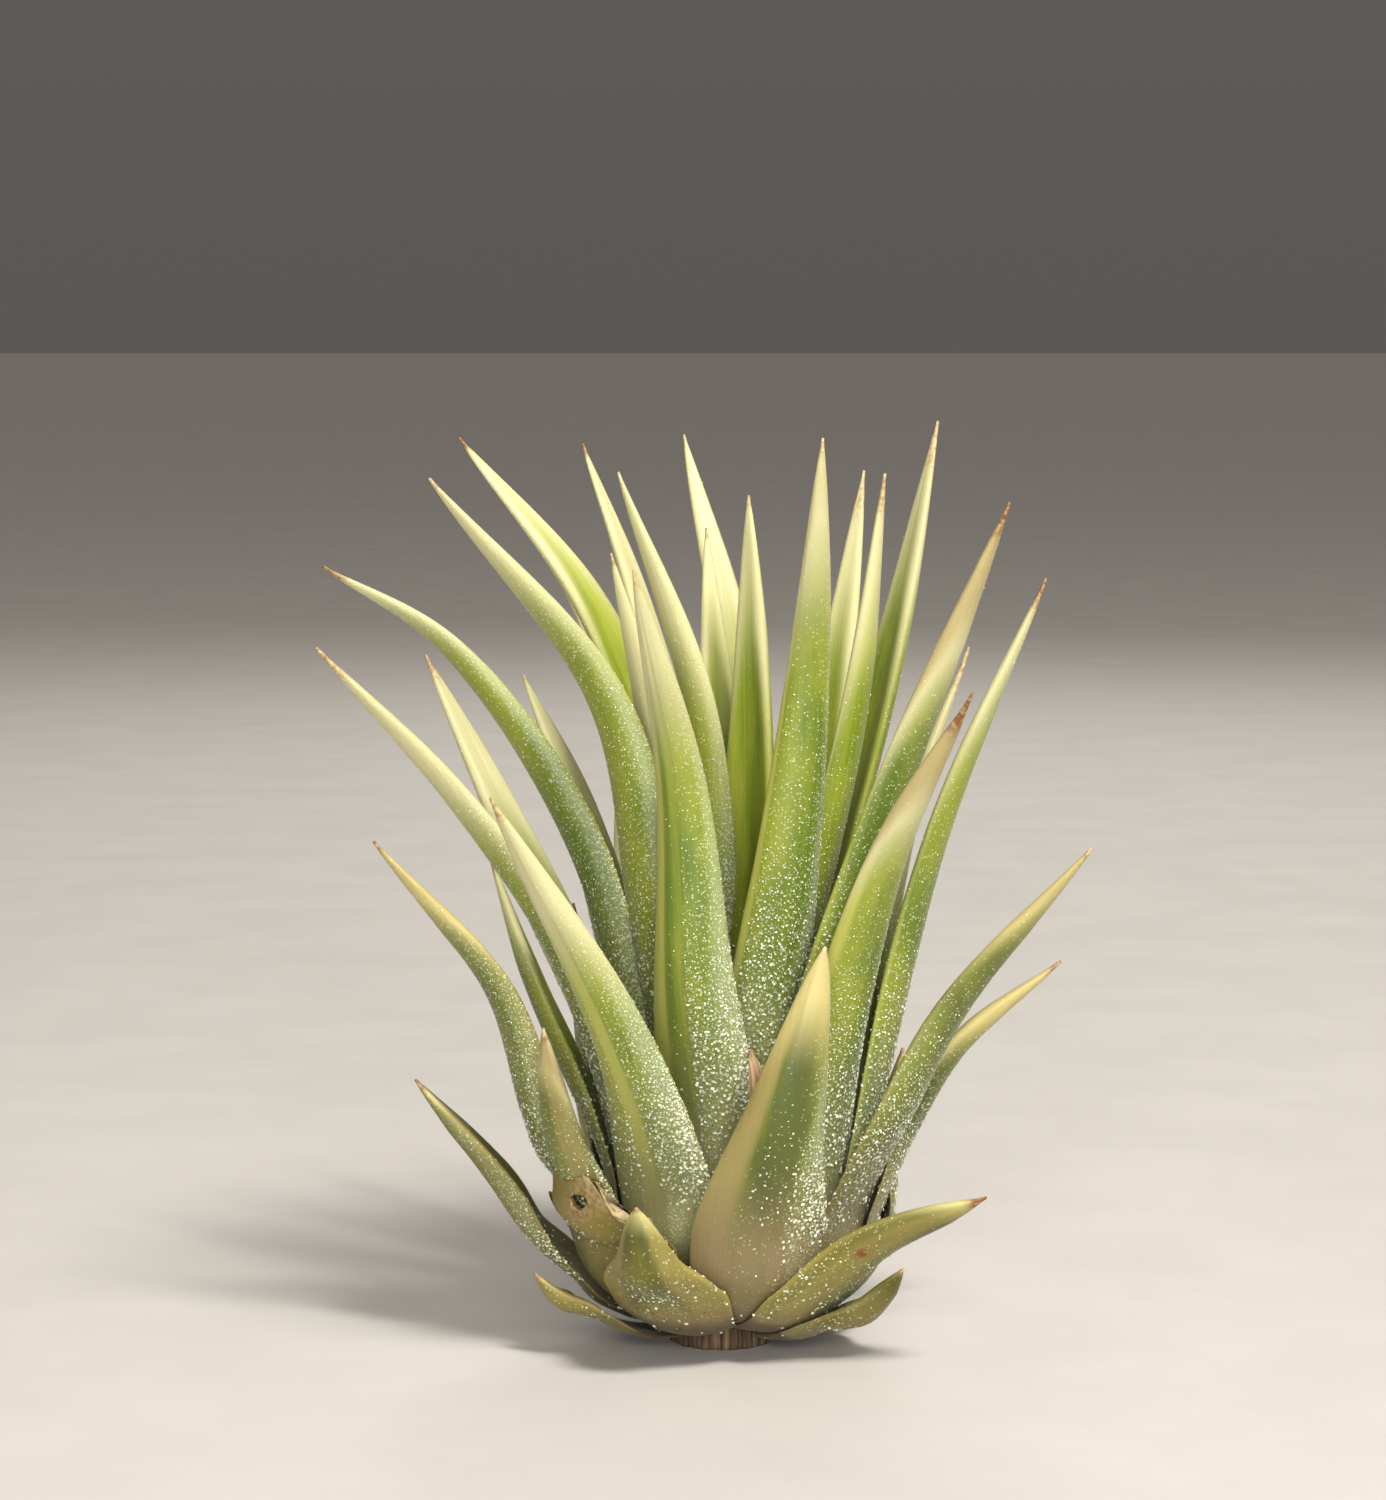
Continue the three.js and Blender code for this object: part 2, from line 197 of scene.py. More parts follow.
def bumped(tree, height, strength, distance):
    sockets = {"Height": height, "Strength": strength, "Distance": distance * MM}
    return add(tree, "ShaderNodeBump", sockets).outputs["Normal"]


def stem_fibre_material():
    material, tree, shader = new_material("old_stem_fibre")
    skin = mark(tree, "skin")
    lines = place_effect(tree, FIBRES, {"Skin": skin, "Lines per mm": 2.2})["Lines"]
    damp = place_effect(tree, BLOTCHES, {"Skin": skin, "Patches per mm": 0.5})["Patch"]
    brown = blend(tree, lines, linear(STEM_DARK), linear(STEM_LIGHT))
    darkening = calculate(tree, "MULTIPLY", damp, DAMP_STRENGTH)
    darkened = blend(tree, darkening, brown, linear(STEM_DARK))
    connect(tree, shader, {
        "Base Color": darkened,
        "Roughness": fade(tree, lines, 0.0, 1.0, 0.95, 0.75),
        "Normal": bumped(tree, lines, 0.7, 0.15),
    })
    return material


def grid_faces(rows, columns):
    """Four-sided faces of a closed sleeve of rows, each of so many points."""
    row, column = np.meshgrid(np.arange(rows - 1), np.arange(columns), indexing="ij")
    here = row * columns + column
    beside = row * columns + (column + 1) % columns
    return np.stack([here, beside, beside + columns, here + columns], axis=-1).reshape(-1, 4)


def mesh_piece(name, points, faces, material, marks):
    """A smooth mesh of points in millimetres, with a vector mark on every point."""
    mesh = bpy.data.meshes.new(name)
    mesh.from_pydata((points * MM).tolist(), [], [list(face) for face in faces])
    mesh.polygons.foreach_set("use_smooth", [True] * len(mesh.polygons))
    for label, values in marks.items():
        layer = mesh.attributes.new(label, "FLOAT_VECTOR", "POINT")
        layer.data.foreach_set("vector", np.asarray(values, np.float32).ravel())
    mesh.materials.append(material)
    piece = bpy.data.objects.new(name, mesh)
    bpy.context.scene.collection.objects.link(piece)
    return piece


def stem_radius(height):
    share = np.minimum(height / STEM_HEIGHT, 1)
    return STEM_FOOT_RADIUS + (STEM_NECK_RADIUS - STEM_FOOT_RADIUS) * share


def build_stem():
    turn = np.linspace(0, 2 * math.pi, STEM_SIDES, endpoint=False)
    height = np.linspace(0, STEM_HEIGHT, STEM_STEPS)[:, None]
    broad, narrow = FIBRE_COUNTS
    wander = FIBRE_DRIFT * np.sin(height * FIBRE_WAVE)
    broad_furrows = np.abs(np.sin(broad / 2 * (turn + wander)))
    narrow_furrows = np.abs(np.sin(narrow / 2 * turn - height))
    furrows = BROAD_SHARE * broad_furrows + (1 - BROAD_SHARE) * narrow_furrows
    worn = WORN_RIM * np.exp(-height / WORN_RIM)
    radius = stem_radius(height) * (1 - FIBRE_DEPTH * furrows) - worn
    climb = height + 0 * turn
    sides = np.stack([radius * np.cos(turn), radius * np.sin(turn), climb], axis=-1)
    points = np.concatenate([sides.reshape(-1, 3), [[0, 0, 0], [0, 0, STEM_TOP]]])
    skin = np.stack([STEM_FOOT_RADIUS * turn + 0 * height, climb, 0 * radius], axis=-1)
    skin = np.concatenate([skin.reshape(-1, 3), [[0, 0, 0], [0, STEM_TOP, 0]]])
    foot, top = len(points) - 2, len(points) - 1
    last = (STEM_STEPS - 1) * STEM_SIDES
    around = [(side, (side + 1) % STEM_SIDES) for side in range(STEM_SIDES)]
    faces = list(grid_faces(STEM_STEPS, STEM_SIDES))
    faces += [(b, a, foot) for a, b in around]
    faces += [(last + a, last + b, top) for a, b in around]
    return mesh_piece("old_stem", points, faces, stem_fibre_material(), {"skin": skin})


stem = build_stem()
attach(stem, "root")
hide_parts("stem")


# ---- Low leaves ----
# The oldest leaves, round the foot of the bulb. Each grew in one piece: a broad sheath
# that clasps the bulb, and a stiff blade rolled into a gutter, which tapers to a dry
# point. They are short, olive and tan, and their sheaths are worn and speckled.

BULB_RADIUS = 14.2         # out to the middle line of the outermost sheaths
BULB_RISE = 8.5            # from a leaf's root up to where the bulb is widest
BELLY_SHARES = (0.12, 0.45)  # of that rise, where a middle line has its first points
HIP_POINT = 1 + len(BELLY_SHARES)
FIRST_ROOT_HEIGHT = 0.9
LAYER_STEP = 0.82          # how much nearer the axis each next layer of sheaths lies
ROOT_STEP = 0.88           # how much higher its roots are
GAP = 0.3                  # between two sheaths, and between a root and the stem
SHEATH_THICKNESS = 0.62
BLADE_THICKNESS = 1.35
POINT_THICKNESS = 0.16
POINT_WIDTH = 0.16
POINT_ANGLE = 0.3
SHRIVELLED = 0.25          # width that a rusty point has lost
FULL_FORM_WIDTH = 3        # a narrower blade is thinner and flatter
ROOT_WIDTH_SHARE = 0.62
SHEATH_ANGLE_LIMIT = 0.62  # half the angle that a sheath may reach round the bulb
CHANNEL_ANGLE = 0.95       # half the angle that a blade's gutter is rolled through
OPENED_SHARE = 0.35        # how far up the blade a sheath's width has become the blade's
ROLLED_SHARE = 0.45        # how far up the gutter is complete
TAPER_POWER = 0.78
TWISTED_SHARE = 0.6        # how far up the blade a twist is complete
MARGIN_BLUNTNESS = 2.3     # 2 would be an ellipse; the real margins are blunter
CURVE_STEPS = 48           # fine steps along each stretch of a middle line
STATIONS = 104
STATION_CROWDING = 1.25    # draws the stations towards the root, where the line bends
OUTER_POINTS = 37
INNER_POINTS = 21
RIPPLE_HEIGHT = 0.07       # slow unevenness of the faces
RIPPLE_WAVES = 5
PRESSED_DEPTH = 0.1        # furrow where a neighbour lay against the leaf in the bud
FULL_RELIEF_WIDTH = 4      # narrower parts are smoother
MARGIN_BANDS = ((-0.97, 0.04, 0.45), (0.97, 0.04, 0.45))
PALE_RISE = (0.16, 0.13)   # shares of the blade before and after the place it turns pale
PALE_MARGINS = 0.16        # how much sooner the margins turn
BAND_FADE = (0.6, 1.3)     # a band's blurred edge, in shares of half its width
SPOT_FADE = (0.4, 1.2)     # a dry mark's, in shares of its radius
POINT_FADE = (0.55, 1.15)  # a dry point's, in shares of its length
SHEATH_FADE = (0.75, 1.45)  # how far up the sheath's colour ends; the hip is at 1
INNER_BANDS = 0.4          # how much of a band shows on the inner face
FOOT_SHADE_HEIGHTS = (1.5, 7)   # painted shade darkens old sheaths from the foot up to here
FOOT_SHADE_STRENGTH = 0.8
SCURF_FADE = (0.1, 0.55)   # shares of the blade between which the fine scurf thins out
THINNING = 0.75            # how much of it is gone there, and on the inner face
HIGHLIGHT_SPOTS = (0.15, 0.8)  # a painted highlight whitens one side: places across the leaf
HIGHLIGHT_RISE = (0.1, 0.4)    # and shares of the blade between which the painted highlight sets in
HIGHLIGHT_STRENGTH = 1.2
HIGHLIGHT_LOST = 0.6           # how much less of it shows on the pale part
SKIN_STEP = 7.0            # sets each leaf's grain apart from its neighbours'

LOW_DEEP = 0x46460c
LOW_BRIGHT = 0x716a20
LOW_PALE = 0xb8b070
LOW_BARE = 0xa3924c
LOW_SHEATH = 0x786638
LOW_COATING = 0.4          # old leaves have lost most of their scales
SCURF_SILVER = 0xbfc79e
STRAW = 0xc9b88a
WITHERED = 0xa89866        # what the pale upper part turns to as it dies back
RUST = 0x7a4a20

nest = []                  # every leaf laid so far, from the outermost inwards


def leaf(name, turn, width, line, rise=BULB_RISE, pale=0.62, point=1.6, rust=0.6,
         withered=0, bands=(), smooth=(), spots=(), twist=0, node=None):
    """A leaf's row. It grows from the stem at turn degrees from +X, is so wide over the
    bulb, and its blade follows line to the tip. It turns pale at that share of the blade
    and ends in a dry point of that length, from straw (0) to rust (1). A withered leaf's
    pale part has turned tan. Bands are smooth straw-coloured stripes, and the smooth ones
    stay olive: each has its place across the leaf, half its width, and its strength. Spots
    are dry marks: each has its share of the blade, its place across, and its radius. The
    blade turns about its own middle line by twist degrees."""
    return {
        "name": name, "node": node or "leaf_" + name, "turn": turn, "width": width,
        "line": line, "rise": rise, "pale": pale, "point": point, "rust": rust,
        "withered": withered, "bands": (*MARGIN_BANDS, *bands), "smooth": smooth,
        "spots": spots, "twist": math.radians(twist),
    }


def root_height(layer):
    return FIRST_ROOT_HEIGHT + layer * ROOT_STEP


def bulb_radius(layer, rise):
    foot = stem_radius(root_height(layer)) + GAP
    full = BULB_RADIUS - layer * LAYER_STEP
    return foot + (full - foot) * math.sqrt(1 - (1 - rise / BULB_RISE) ** 2)


def sheath_angle(row, layer):
    return min(row["width"] / 2 / bulb_radius(layer, row["rise"]), SHEATH_ANGLE_LIMIT)


def turn_between(a, b):
    turn = abs(a - b) % 360
    return math.radians(min(turn, 360 - turn))


def lay(row):
    """A sheath goes into the first layer inside every sheath that it would lie against."""
    layer = 0
    for outer in nest:
        reach = sheath_angle(row, outer["layer"]) + sheath_angle(outer, outer["layer"])
        room = GAP / bulb_radius(outer["layer"], outer["rise"])
        if turn_between(row["turn"], outer["turn"]) < reach + room:
            layer = max(layer, outer["layer"] + 1)
    row["layer"] = layer
    row["seed"] = len(nest)
    nest.append(row)


def outwards(turn):
    return np.array([math.cos(math.radians(turn)), math.sin(math.radians(turn)), 0])


def smooth_line(points):
    """Fine points on a centripetal Catmull-Rom curve through the given ones."""
    ends = [2 * points[0] - points[1]], [2 * points[-1] - points[-2]]
    knots = np.concatenate([ends[0], points, ends[1]])
    share = np.linspace(0, 1, CURVE_STEPS, endpoint=False)[:, None]
    stretches = []
    for p0, p1, p2, p3 in zip(knots, knots[1:], knots[2:], knots[3:]):
        d0, d1, d2 = (math.sqrt(math.dist(a, b)) for a, b in ((p0, p1), (p1, p2), (p2, p3)))
        start = d1 * ((p1 - p0) / d0 - (p2 - p0) / (d0 + d1) + (p2 - p1) / d1)
        end = d1 * ((p2 - p1) / d1 - (p3 - p1) / (d1 + d2) + (p3 - p2) / d2)
        stretches.append(
            p1 + start * share + (3 * (p2 - p1) - 2 * start - end) * share**2
            + (2 * (p1 - p2) + start + end) * share**3
        )
    return np.concatenate([*stretches, points[-1:]])


def middle_line(row):
    """Points along the middle of a leaf, and how far along the hip and the tip are."""
    out, height = outwards(row["turn"]), root_height(row["layer"])

    def on_bulb(rise):
        return out * bulb_radius(row["layer"], rise) + [0, 0, height + rise]

    root = out * (stem_radius(height) + GAP) + [0, 0, height]
    belly = [on_bulb(row["rise"] * share) for share in BELLY_SHARES]
    line = smooth_line(np.array([root, *belly, on_bulb(row["rise"]), *row["line"]], float))
    steps = np.linalg.norm(np.diff(line, axis=0), axis=1)
    reached = np.concatenate([[0], np.cumsum(steps)])
    return line, reached, reached[HIP_POINT * CURVE_STEPS]


def step_up(value, start, end):
    share = np.clip((value - start) / (end - start), 0, 1)
    return share * share * (3 - 2 * share)


def mix(a, b, share):
    return a + (b - a) * share


def carried_frames(row, line, reached, places, blade):
    """The middle line's points at the places, with the leaf's own directions there. The
    crosswise one is carried along, so that the blade twists only as its row says."""
    centres = np.stack([np.interp(places, reached, line[:, axis]) for axis in range(3)], axis=-1)
    along = np.gradient(centres, places, axis=0)
    along /= np.linalg.norm(along, axis=1)[:, None]
    across = np.empty_like(along)
    carried = outwards(row["turn"] + 90)
    for index, ahead in enumerate(along):
        carried = carried - ahead * carried.dot(ahead)
        carried = carried / np.linalg.norm(carried)
        across[index] = carried
    twist = (row["twist"] * step_up(blade, 0, TWISTED_SHARE))[:, None]
    across = across * np.cos(twist) + np.cross(along, across) * np.sin(twist)
    return centres, along, across, np.cross(across, along)


def full_width(row, over_bulb, blade):
    """The width before any taper: the sheath widens from the root, and opens to the blade."""
    sheath_width = 2 * sheath_angle(row, row["layer"]) * bulb_radius(row["layer"], row["rise"])
    growth = mix(ROOT_WIDTH_SHARE, 1, np.sin(over_bulb * math.pi / 2))
    return growth * mix(sheath_width, row["width"], step_up(blade, 0, OPENED_SHARE))


def cross_section(row, over_bulb, blade, from_tip):
    """Width, thickness and rolled angle of the leaf at each station."""
    rolled = step_up(blade, 0, ROLLED_SHARE)
    angle = mix(sheath_angle(row, row["layer"]), CHANNEL_ANGLE, rolled)
    thickness = mix(SHEATH_THICKNESS, BLADE_THICKNESS, rolled)
    dried = step_up(-from_tip, -row["point"], -0.3 * row["point"])
    shrivelled = 1 - SHRIVELLED * row["rust"] * dried
    tapered = full_width(row, over_bulb, blade) * (1 - blade) ** TAPER_POWER
    width = np.maximum(tapered * shrivelled, POINT_WIDTH)
    full_form = np.minimum(1, width / FULL_FORM_WIDTH)
    return width, mix(POINT_THICKNESS, thickness, full_form), mix(POINT_ANGLE, angle, full_form)


def unevenness(row, up, spot):
    """Slow dents and swellings of a grown surface, the same on each run."""
    draw = np.random.default_rng(row["seed"])
    total = 0
    for _ in range(RIPPLE_WAVES):
        turns, tilt = draw.uniform(2, 9), draw.uniform(-3, 3)
        total = total + np.sin(turns * up + tilt * spot + draw.uniform(0, 6.3))
    return total / RIPPLE_WAVES


def in_bands(bands, spot):
    """How much each place across the leaf belongs to one of its smooth bands."""
    inside = 0 * spot
    for middle, half, strength in bands:
        start, end = (share * half for share in BAND_FADE)
        inside = inside + strength * (1 - step_up(abs(spot - middle), start, end))
    return np.clip(inside, 0, 1)


def leaf_form(row, section=cross_section):
    """Points of the leaf's skin, ring by ring, with what the materials and scales read. A
    point's spot is its place across, from -1 to 1, and its side is 1 on the outer face."""
    line, reached, hip = middle_line(row)
    length = reached[-1]
    places = length * np.linspace(0, 1, STATIONS) ** STATION_CROWDING
    places[-1] = length
    over_bulb = np.minimum(places / hip, 1)
    blade = np.clip((places - hip) / (length - hip), 0, 1)
    centres, along, across, out = carried_frames(row, line, reached, places, blade)
    from_tip = length - places
    width, thickness, angle = section(row, over_bulb, blade, from_tip)

    outer = np.sin(np.linspace(-math.pi / 2, math.pi / 2, OUTER_POINTS))
    inner = np.sin(np.linspace(math.pi / 2, -math.pi / 2, INNER_POINTS + 2))[1:-1]
    spot = np.concatenate([outer, inner])[None, :]
    side = np.concatenate([np.ones(OUTER_POINTS), -np.ones(INNER_POINTS)])[None, :]
    up = (over_bulb + blade)[:, None]

    plump = (1 - np.abs(spot) ** MARGIN_BLUNTNESS) ** (1 / MARGIN_BLUNTNESS)
    size = np.minimum(1, width / FULL_RELIEF_WIDTH)[:, None]
    pressed = in_bands(row["bands"][len(MARGIN_BANDS):], spot) * (side > 0)
    skin_height = (
        RIPPLE_HEIGHT * unevenness(row, up * 2, spot) * plump * (side > 0)
        - PRESSED_DEPTH * pressed * plump
    ) * size
    radius = (width / (2 * angle))[:, None]
    depth = side * plump * thickness[:, None] / 2 + skin_height
    turn = (angle[:, None] * spot)[..., None]
    lift = across[:, None, :] * np.sin(turn) + out[:, None, :] * np.cos(turn)
    middle = centres[:, None, :] + lift * radius[..., None] - (out * radius)[:, None, :]
    ones = np.ones_like(depth)
    return {
        "points": middle + lift * depth[..., None],
        "middle": middle, "lift": lift, "depth": depth, "along": along, "width": width,
        "up": up * ones, "blade": blade[:, None] * ones,
        "place": places[:, None] * ones, "from_tip": from_tip[:, None] * ones,
        "spot": spot * ones, "side": side * ones, "across_mm": spot * width[:, None] / 2,
    }


def painted(row, form):
    """The marks that the leaf's materials read: its place on the skin in millimetres, and
    how pale, dry and bare each point is, then how much it is sheath, coated or rusty.
    Pale above 1 is withered, bare below 0 is olive, sheath above 1 is painted shade that
    darkens the foot, and coated above 1 is a painted highlight that whitens one side of the blade."""
    blade, spot, outer_face = form["blade"], form["spot"], form["side"] > 0
    pale_from = row["pale"] - PALE_MARGINS * np.abs(spot) ** 3
    pale = step_up(blade, pale_from - PALE_RISE[0], pale_from + PALE_RISE[1])
    start, end = (share * row["point"] for share in POINT_FADE)
    dry = 1 - step_up(form["from_tip"], start, end)
    for share, middle, size in row["spots"]:
        centre = np.abs(blade[:, 0] - share).argmin()
        far = np.hypot(
            form["place"] - form["place"][centre, 0],
            form["across_mm"] - middle * form["width"][centre] / 2,
        )
        start, end = (share * size for share in SPOT_FADE)
        dry = np.maximum(dry, (1 - step_up(far, start, end)) * outer_face)
    smooth = in_bands(row["smooth"], spot) * outer_face
    bare = in_bands(row["bands"], spot) * np.where(outer_face, 1, INNER_BANDS)
    # Painted shade: the foot of every leaf is darkened up to a height, as if shade fell there.
    darkened = FOOT_SHADE_STRENGTH * (1 - step_up(form["points"][..., 2], *FOOT_SHADE_HEIGHTS))
    start, end = (share * mix(0.5, 1, row["rise"] / BULB_RISE) for share in SHEATH_FADE)
    sheath = 1 - step_up(form["up"], start, end) + darkened
    inner = 0.5 - 0.5 * form["side"]
    thinning = (1 - THINNING * step_up(blade, *SCURF_FADE)) * (1 - THINNING * inner)
    coat = thinning * (1 - np.maximum(bare, pale)) * (1 - smooth)
    # Painted highlight: one side of the outer face is whitened above the foot of the blade, as if
    # its scales caught the light.
    side_highlight = step_up(spot, *HIGHLIGHT_SPOTS) * step_up(blade, *HIGHLIGHT_RISE) * outer_face
    side_highlight = HIGHLIGHT_STRENGTH * side_highlight * (1 - bare) * (1 - smooth) * (1 - HIGHLIGHT_LOST * pale)
    own_place = SKIN_STEP * row["seed"] + SKIN_STEP / 2 * inner
    marks = {
        "skin": (form["across_mm"], form["place"], own_place),
        "paint": (pale * (1 + row["withered"]), dry, bare - smooth),
        "growth": (sheath, coat + side_highlight, row["rust"] * np.ones_like(blade)),
    }
    return {label: np.stack(parts, axis=-1).reshape(-1, 3) for label, parts in marks.items()}


def capped_sleeve(stations, ring):
    """Faces of a sleeve of rings, closed at the root and at the tip."""
    faces = list(grid_faces(stations, ring))
    faces.append(range(ring - 1, -1, -1))
    faces.append(range((stations - 1) * ring, stations * ring))
    return faces


GRAINS_PER_MM = 5.0
DUST_PER_MM = 9.0
DUST_HEIGHT = 0.35         # against 1 for a grain
SPECKS_PER_MM = 1.9
SPECK_SIZE = 0.22
FLECKS_PER_MM = 2.6
FLECK_STRENGTH = 0.35      # how much straw and rust change over a dry point


def scattered_cells(tree, place, cells_per_mm):
    sockets = {"Vector": place, "Scale": cells_per_mm}
    return add(tree, "ShaderNodeTexVoronoi", sockets, feature="F1").outputs


def make_scurf():
    """Silvery scurf: the fine coat of scales too small to be pieces of their own. It
    gathers in grains a fifth of a millimetre across, and Cover says how dense it is."""
    group, given, result = effect(
        "silver_scurf",
        [("Skin", "NodeSocketVector", None), ("Cover", "NodeSocketFloat", 0.5)],
        [("Grains", "NodeSocketFloat"), ("Height", "NodeSocketFloat")],
    )
    cells = scattered_cells(group, given["Skin"], GRAINS_PER_MM)
    dome = fade(group, cells["Distance"], 0.15, 0.55, 1.0, 0.0)
    edge = calculate(group, "SUBTRACT", 1.0, given["Cover"])
    chance = split(group, cells["Color"])["X"]
    there = fade(group, calculate(group, "SUBTRACT", chance, edge), -0.08, 0.12)
    grains = calculate(group, "MULTIPLY", dome, there)
    group.links.new(grains, result["Grains"])
    dust = noise(group, given["Skin"], DUST_PER_MM, 1.0)
    height = calculate(group, "MULTIPLY", dust, DUST_HEIGHT)
    group.links.new(calculate(group, "ADD", height, grains), result["Height"])
    return group


def make_specks():
    """Small dark dirt specks and pricks, mostly on old sheaths."""
    group, given, result = effect(
        "dark_specks",
        [("Skin", "NodeSocketVector", None), ("Share", "NodeSocketFloat", 0.2)],
        [("Specks", "NodeSocketFloat")],
    )
    cells = scattered_cells(group, given["Skin"], SPECKS_PER_MM)
    chance, largeness = split(group, cells["Color"])[1:]
    chosen = fade(group, calculate(group, "SUBTRACT", given["Share"], chance), -0.02, 0.04)
    size = calculate(group, "MULTIPLY", largeness, SPECK_SIZE)
    dot = fade(group, calculate(group, "SUBTRACT", size, cells["Distance"]), -0.05, 0.05)
    group.links.new(calculate(group, "MULTIPLY", chosen, dot), result["Specks"])
    return group


def make_dry_point():
    """Dead leaf tissue, from pale straw to rust, with darker flecks."""
    group, given, result = effect(
        "dry_point",
        [("Skin", "NodeSocketVector", None), ("Rust", "NodeSocketFloat", 0.5)],
        [("Colour", "NodeSocketColor")],
    )
    flecks = noise(group, given["Skin"], FLECKS_PER_MM, 4.0)
    uneven = fade(group, flecks, 0.3, 0.7, -FLECK_STRENGTH, FLECK_STRENGTH)
    sockets = {0: given["Rust"], 1: uneven}
    amount = add(group, "ShaderNodeMath", sockets, operation="ADD", use_clamp=True).outputs[0]
    group.links.new(blend(group, amount, linear(STRAW), linear(RUST)), result["Colour"])
    return group


SCURF, SPECKS, DRY_POINT = make_scurf(), make_specks(), make_dry_point()


LINE_STRENGTH = 0.35
BAND_STRENGTH = 0.85
OLIVE_STRENGTH = 0.8
LEAST_WORN = 0.75          # what a sheath's colour falls to in patches
TAN_FADE = (0.85, 1.8)     # paleness between which cream turns to withered tan
HIGHLIGHT_FADE = (0.7, 1.6)    # coating between which a plain face turns to one whitened by the painted highlight
VEIL_STRENGTH = (0.05, 0.45)  # the silver haze over either, from the scurf and from the painted highlight
GRAIN_STRENGTH = 0.6
SPECK_STRENGTH = 0.7
PAINTED_SHADE_FADE = (1.0, 1.8)     # how much sheath and painted shade there is where the darkening of the foot sets in
PAINTED_SHADE_STRENGTH = 0.75
LINE_RELIEF = 0.5          # against 1 for a grain
RELIEF_STRENGTH = 0.5
RELIEF_HEIGHT = 0.05
LEAF_ROUGHNESS = (0.42, 0.7)  # of the clean skin, and under a grain
LEAF_FLESH = {
    "Specular IOR Level": 0.35,
    "Sheen Weight": 0.1,
    "Sheen Roughness": 0.4,
    "Sheen Tint": linear(0xe6ead6),
    "Subsurface Weight": 0.15,
    "Subsurface Radius": (0.9, 1.0, 0.35),
    "Subsurface Scale": MM,
}


def leaf_skin(name, deep, bright, pale, bare, sheath, scurf=0.8, dirt=0.3):
    """Living leaf: green with fine lengthwise fibres, pale towards the tip and along its smooth
    bands, tan at the sheath, dusted with silver, dry at the point; a painted highlight whitens one
    side, painted shade darkens the foot."""
    material, tree, shader = new_material(name)
    skin = mark(tree, "skin")
    paleness, dryness, bareness = split(tree, mark(tree, "paint"))
    sheath_and_shade, coat_and_highlight, rust = split(tree, mark(tree, "growth"))
    lines = place_effect(tree, FIBRES, {"Skin": skin, "Lines per mm": 3.4})["Lines"]
    patch = place_effect(tree, BLOTCHES, {"Skin": skin, "Patches per mm": 0.28})["Patch"]

    green = blend(tree, patch, linear(deep), linear(bright))
    lined = blend(tree, calculate(tree, "MULTIPLY", lines, LINE_STRENGTH), green, linear(bright))
    strawed = calculate(tree, "MULTIPLY", bareness, BAND_STRENGTH)
    banded = blend(tree, strawed, lined, linear(bare))
    deepened = calculate(tree, "MULTIPLY", bareness, -OLIVE_STRENGTH)
    olive = blend(tree, deepened, banded, linear(deep))
    tinted = blend(tree, fade(tree, paleness, *TAN_FADE), linear(pale), linear(WITHERED))
    whitened = blend(tree, paleness, olive, tinted)
    worn = fade(tree, sheath_and_shade, 0.0, 1.0)
    uneven = fade(tree, patch, 0.0, 1.0, LEAST_WORN, 1.0)
    aged = calculate(tree, "MULTIPLY", worn, uneven)
    based = blend(tree, aged, whitened, linear(sheath))

    silver = linear(SCURF_SILVER)
    cover = calculate(tree, "MULTIPLY", calculate(tree, "MINIMUM", coat_and_highlight, 1.0), scurf)
    coat = place_effect(tree, SCURF, {"Skin": skin, "Cover": cover})
    # Painted highlight: coating above 1 lays a whiter silver veil over one side of the blade.
    haze_and_highlight = fade(tree, coat_and_highlight, *HIGHLIGHT_FADE, *VEIL_STRENGTH)
    veil_and_highlight = calculate(tree, "MULTIPLY", haze_and_highlight, scurf)
    veiled_and_highlit = blend(tree, veil_and_highlight, based, silver)
    grained = calculate(tree, "MULTIPLY", coat["Grains"], GRAIN_STRENGTH)
    dusted = blend(tree, grained, veiled_and_highlit, silver)
    share = calculate(tree, "MULTIPLY", worn, dirt)
    specks = place_effect(tree, SPECKS, {"Skin": skin, "Share": share})["Specks"]
    specked = calculate(tree, "MULTIPLY", specks, SPECK_STRENGTH)
    # Painted shade: a sheath mark above 1 darkens the foot towards the stem's dark brown.
    foot_shade = fade(tree, sheath_and_shade, *PAINTED_SHADE_FADE, 0.0, PAINTED_SHADE_STRENGTH)
    specks_and_shade = blend(tree, calculate(tree, "MAXIMUM", specked, foot_shade), dusted, linear(STEM_DARK))
    dead = place_effect(tree, DRY_POINT, {"Skin": skin, "Rust": rust})["Colour"]

    lifted = calculate(tree, "MULTIPLY", lines, LINE_RELIEF)
    relief = calculate(tree, "ADD", lifted, coat["Height"])
    connect(tree, shader, {
        "Base Color": blend(tree, dryness, specks_and_shade, dead),
        "Roughness": fade(tree, coat["Grains"], 0.0, 1.0, *LEAF_ROUGHNESS),
        "Normal": bumped(tree, relief, RELIEF_STRENGTH, RELIEF_HEIGHT),
    })
    for socket, value in LEAF_FLESH.items():
        shader.inputs[socket].default_value = value
    return material


SCALE_LENGTH = (0.15, 0.32)  # one scale, tip to tip, smallest and largest
SCALE_GROWTH = (1.1, 0.5)    # times as large at the foot of a blade, and half way up
SCALE_SLENDERNESS = 0.72
SCALE_TILT = (0.1, 0.75)     # how far a scale stands off the skin, in radians
SCALE_SIDES = 5
SCALE_DOME = 0.02
SCALE_SILVER = 0xe6ead6
SCALE_WARM = 0xc6cba8
SCALES_PER_MM2 = 9
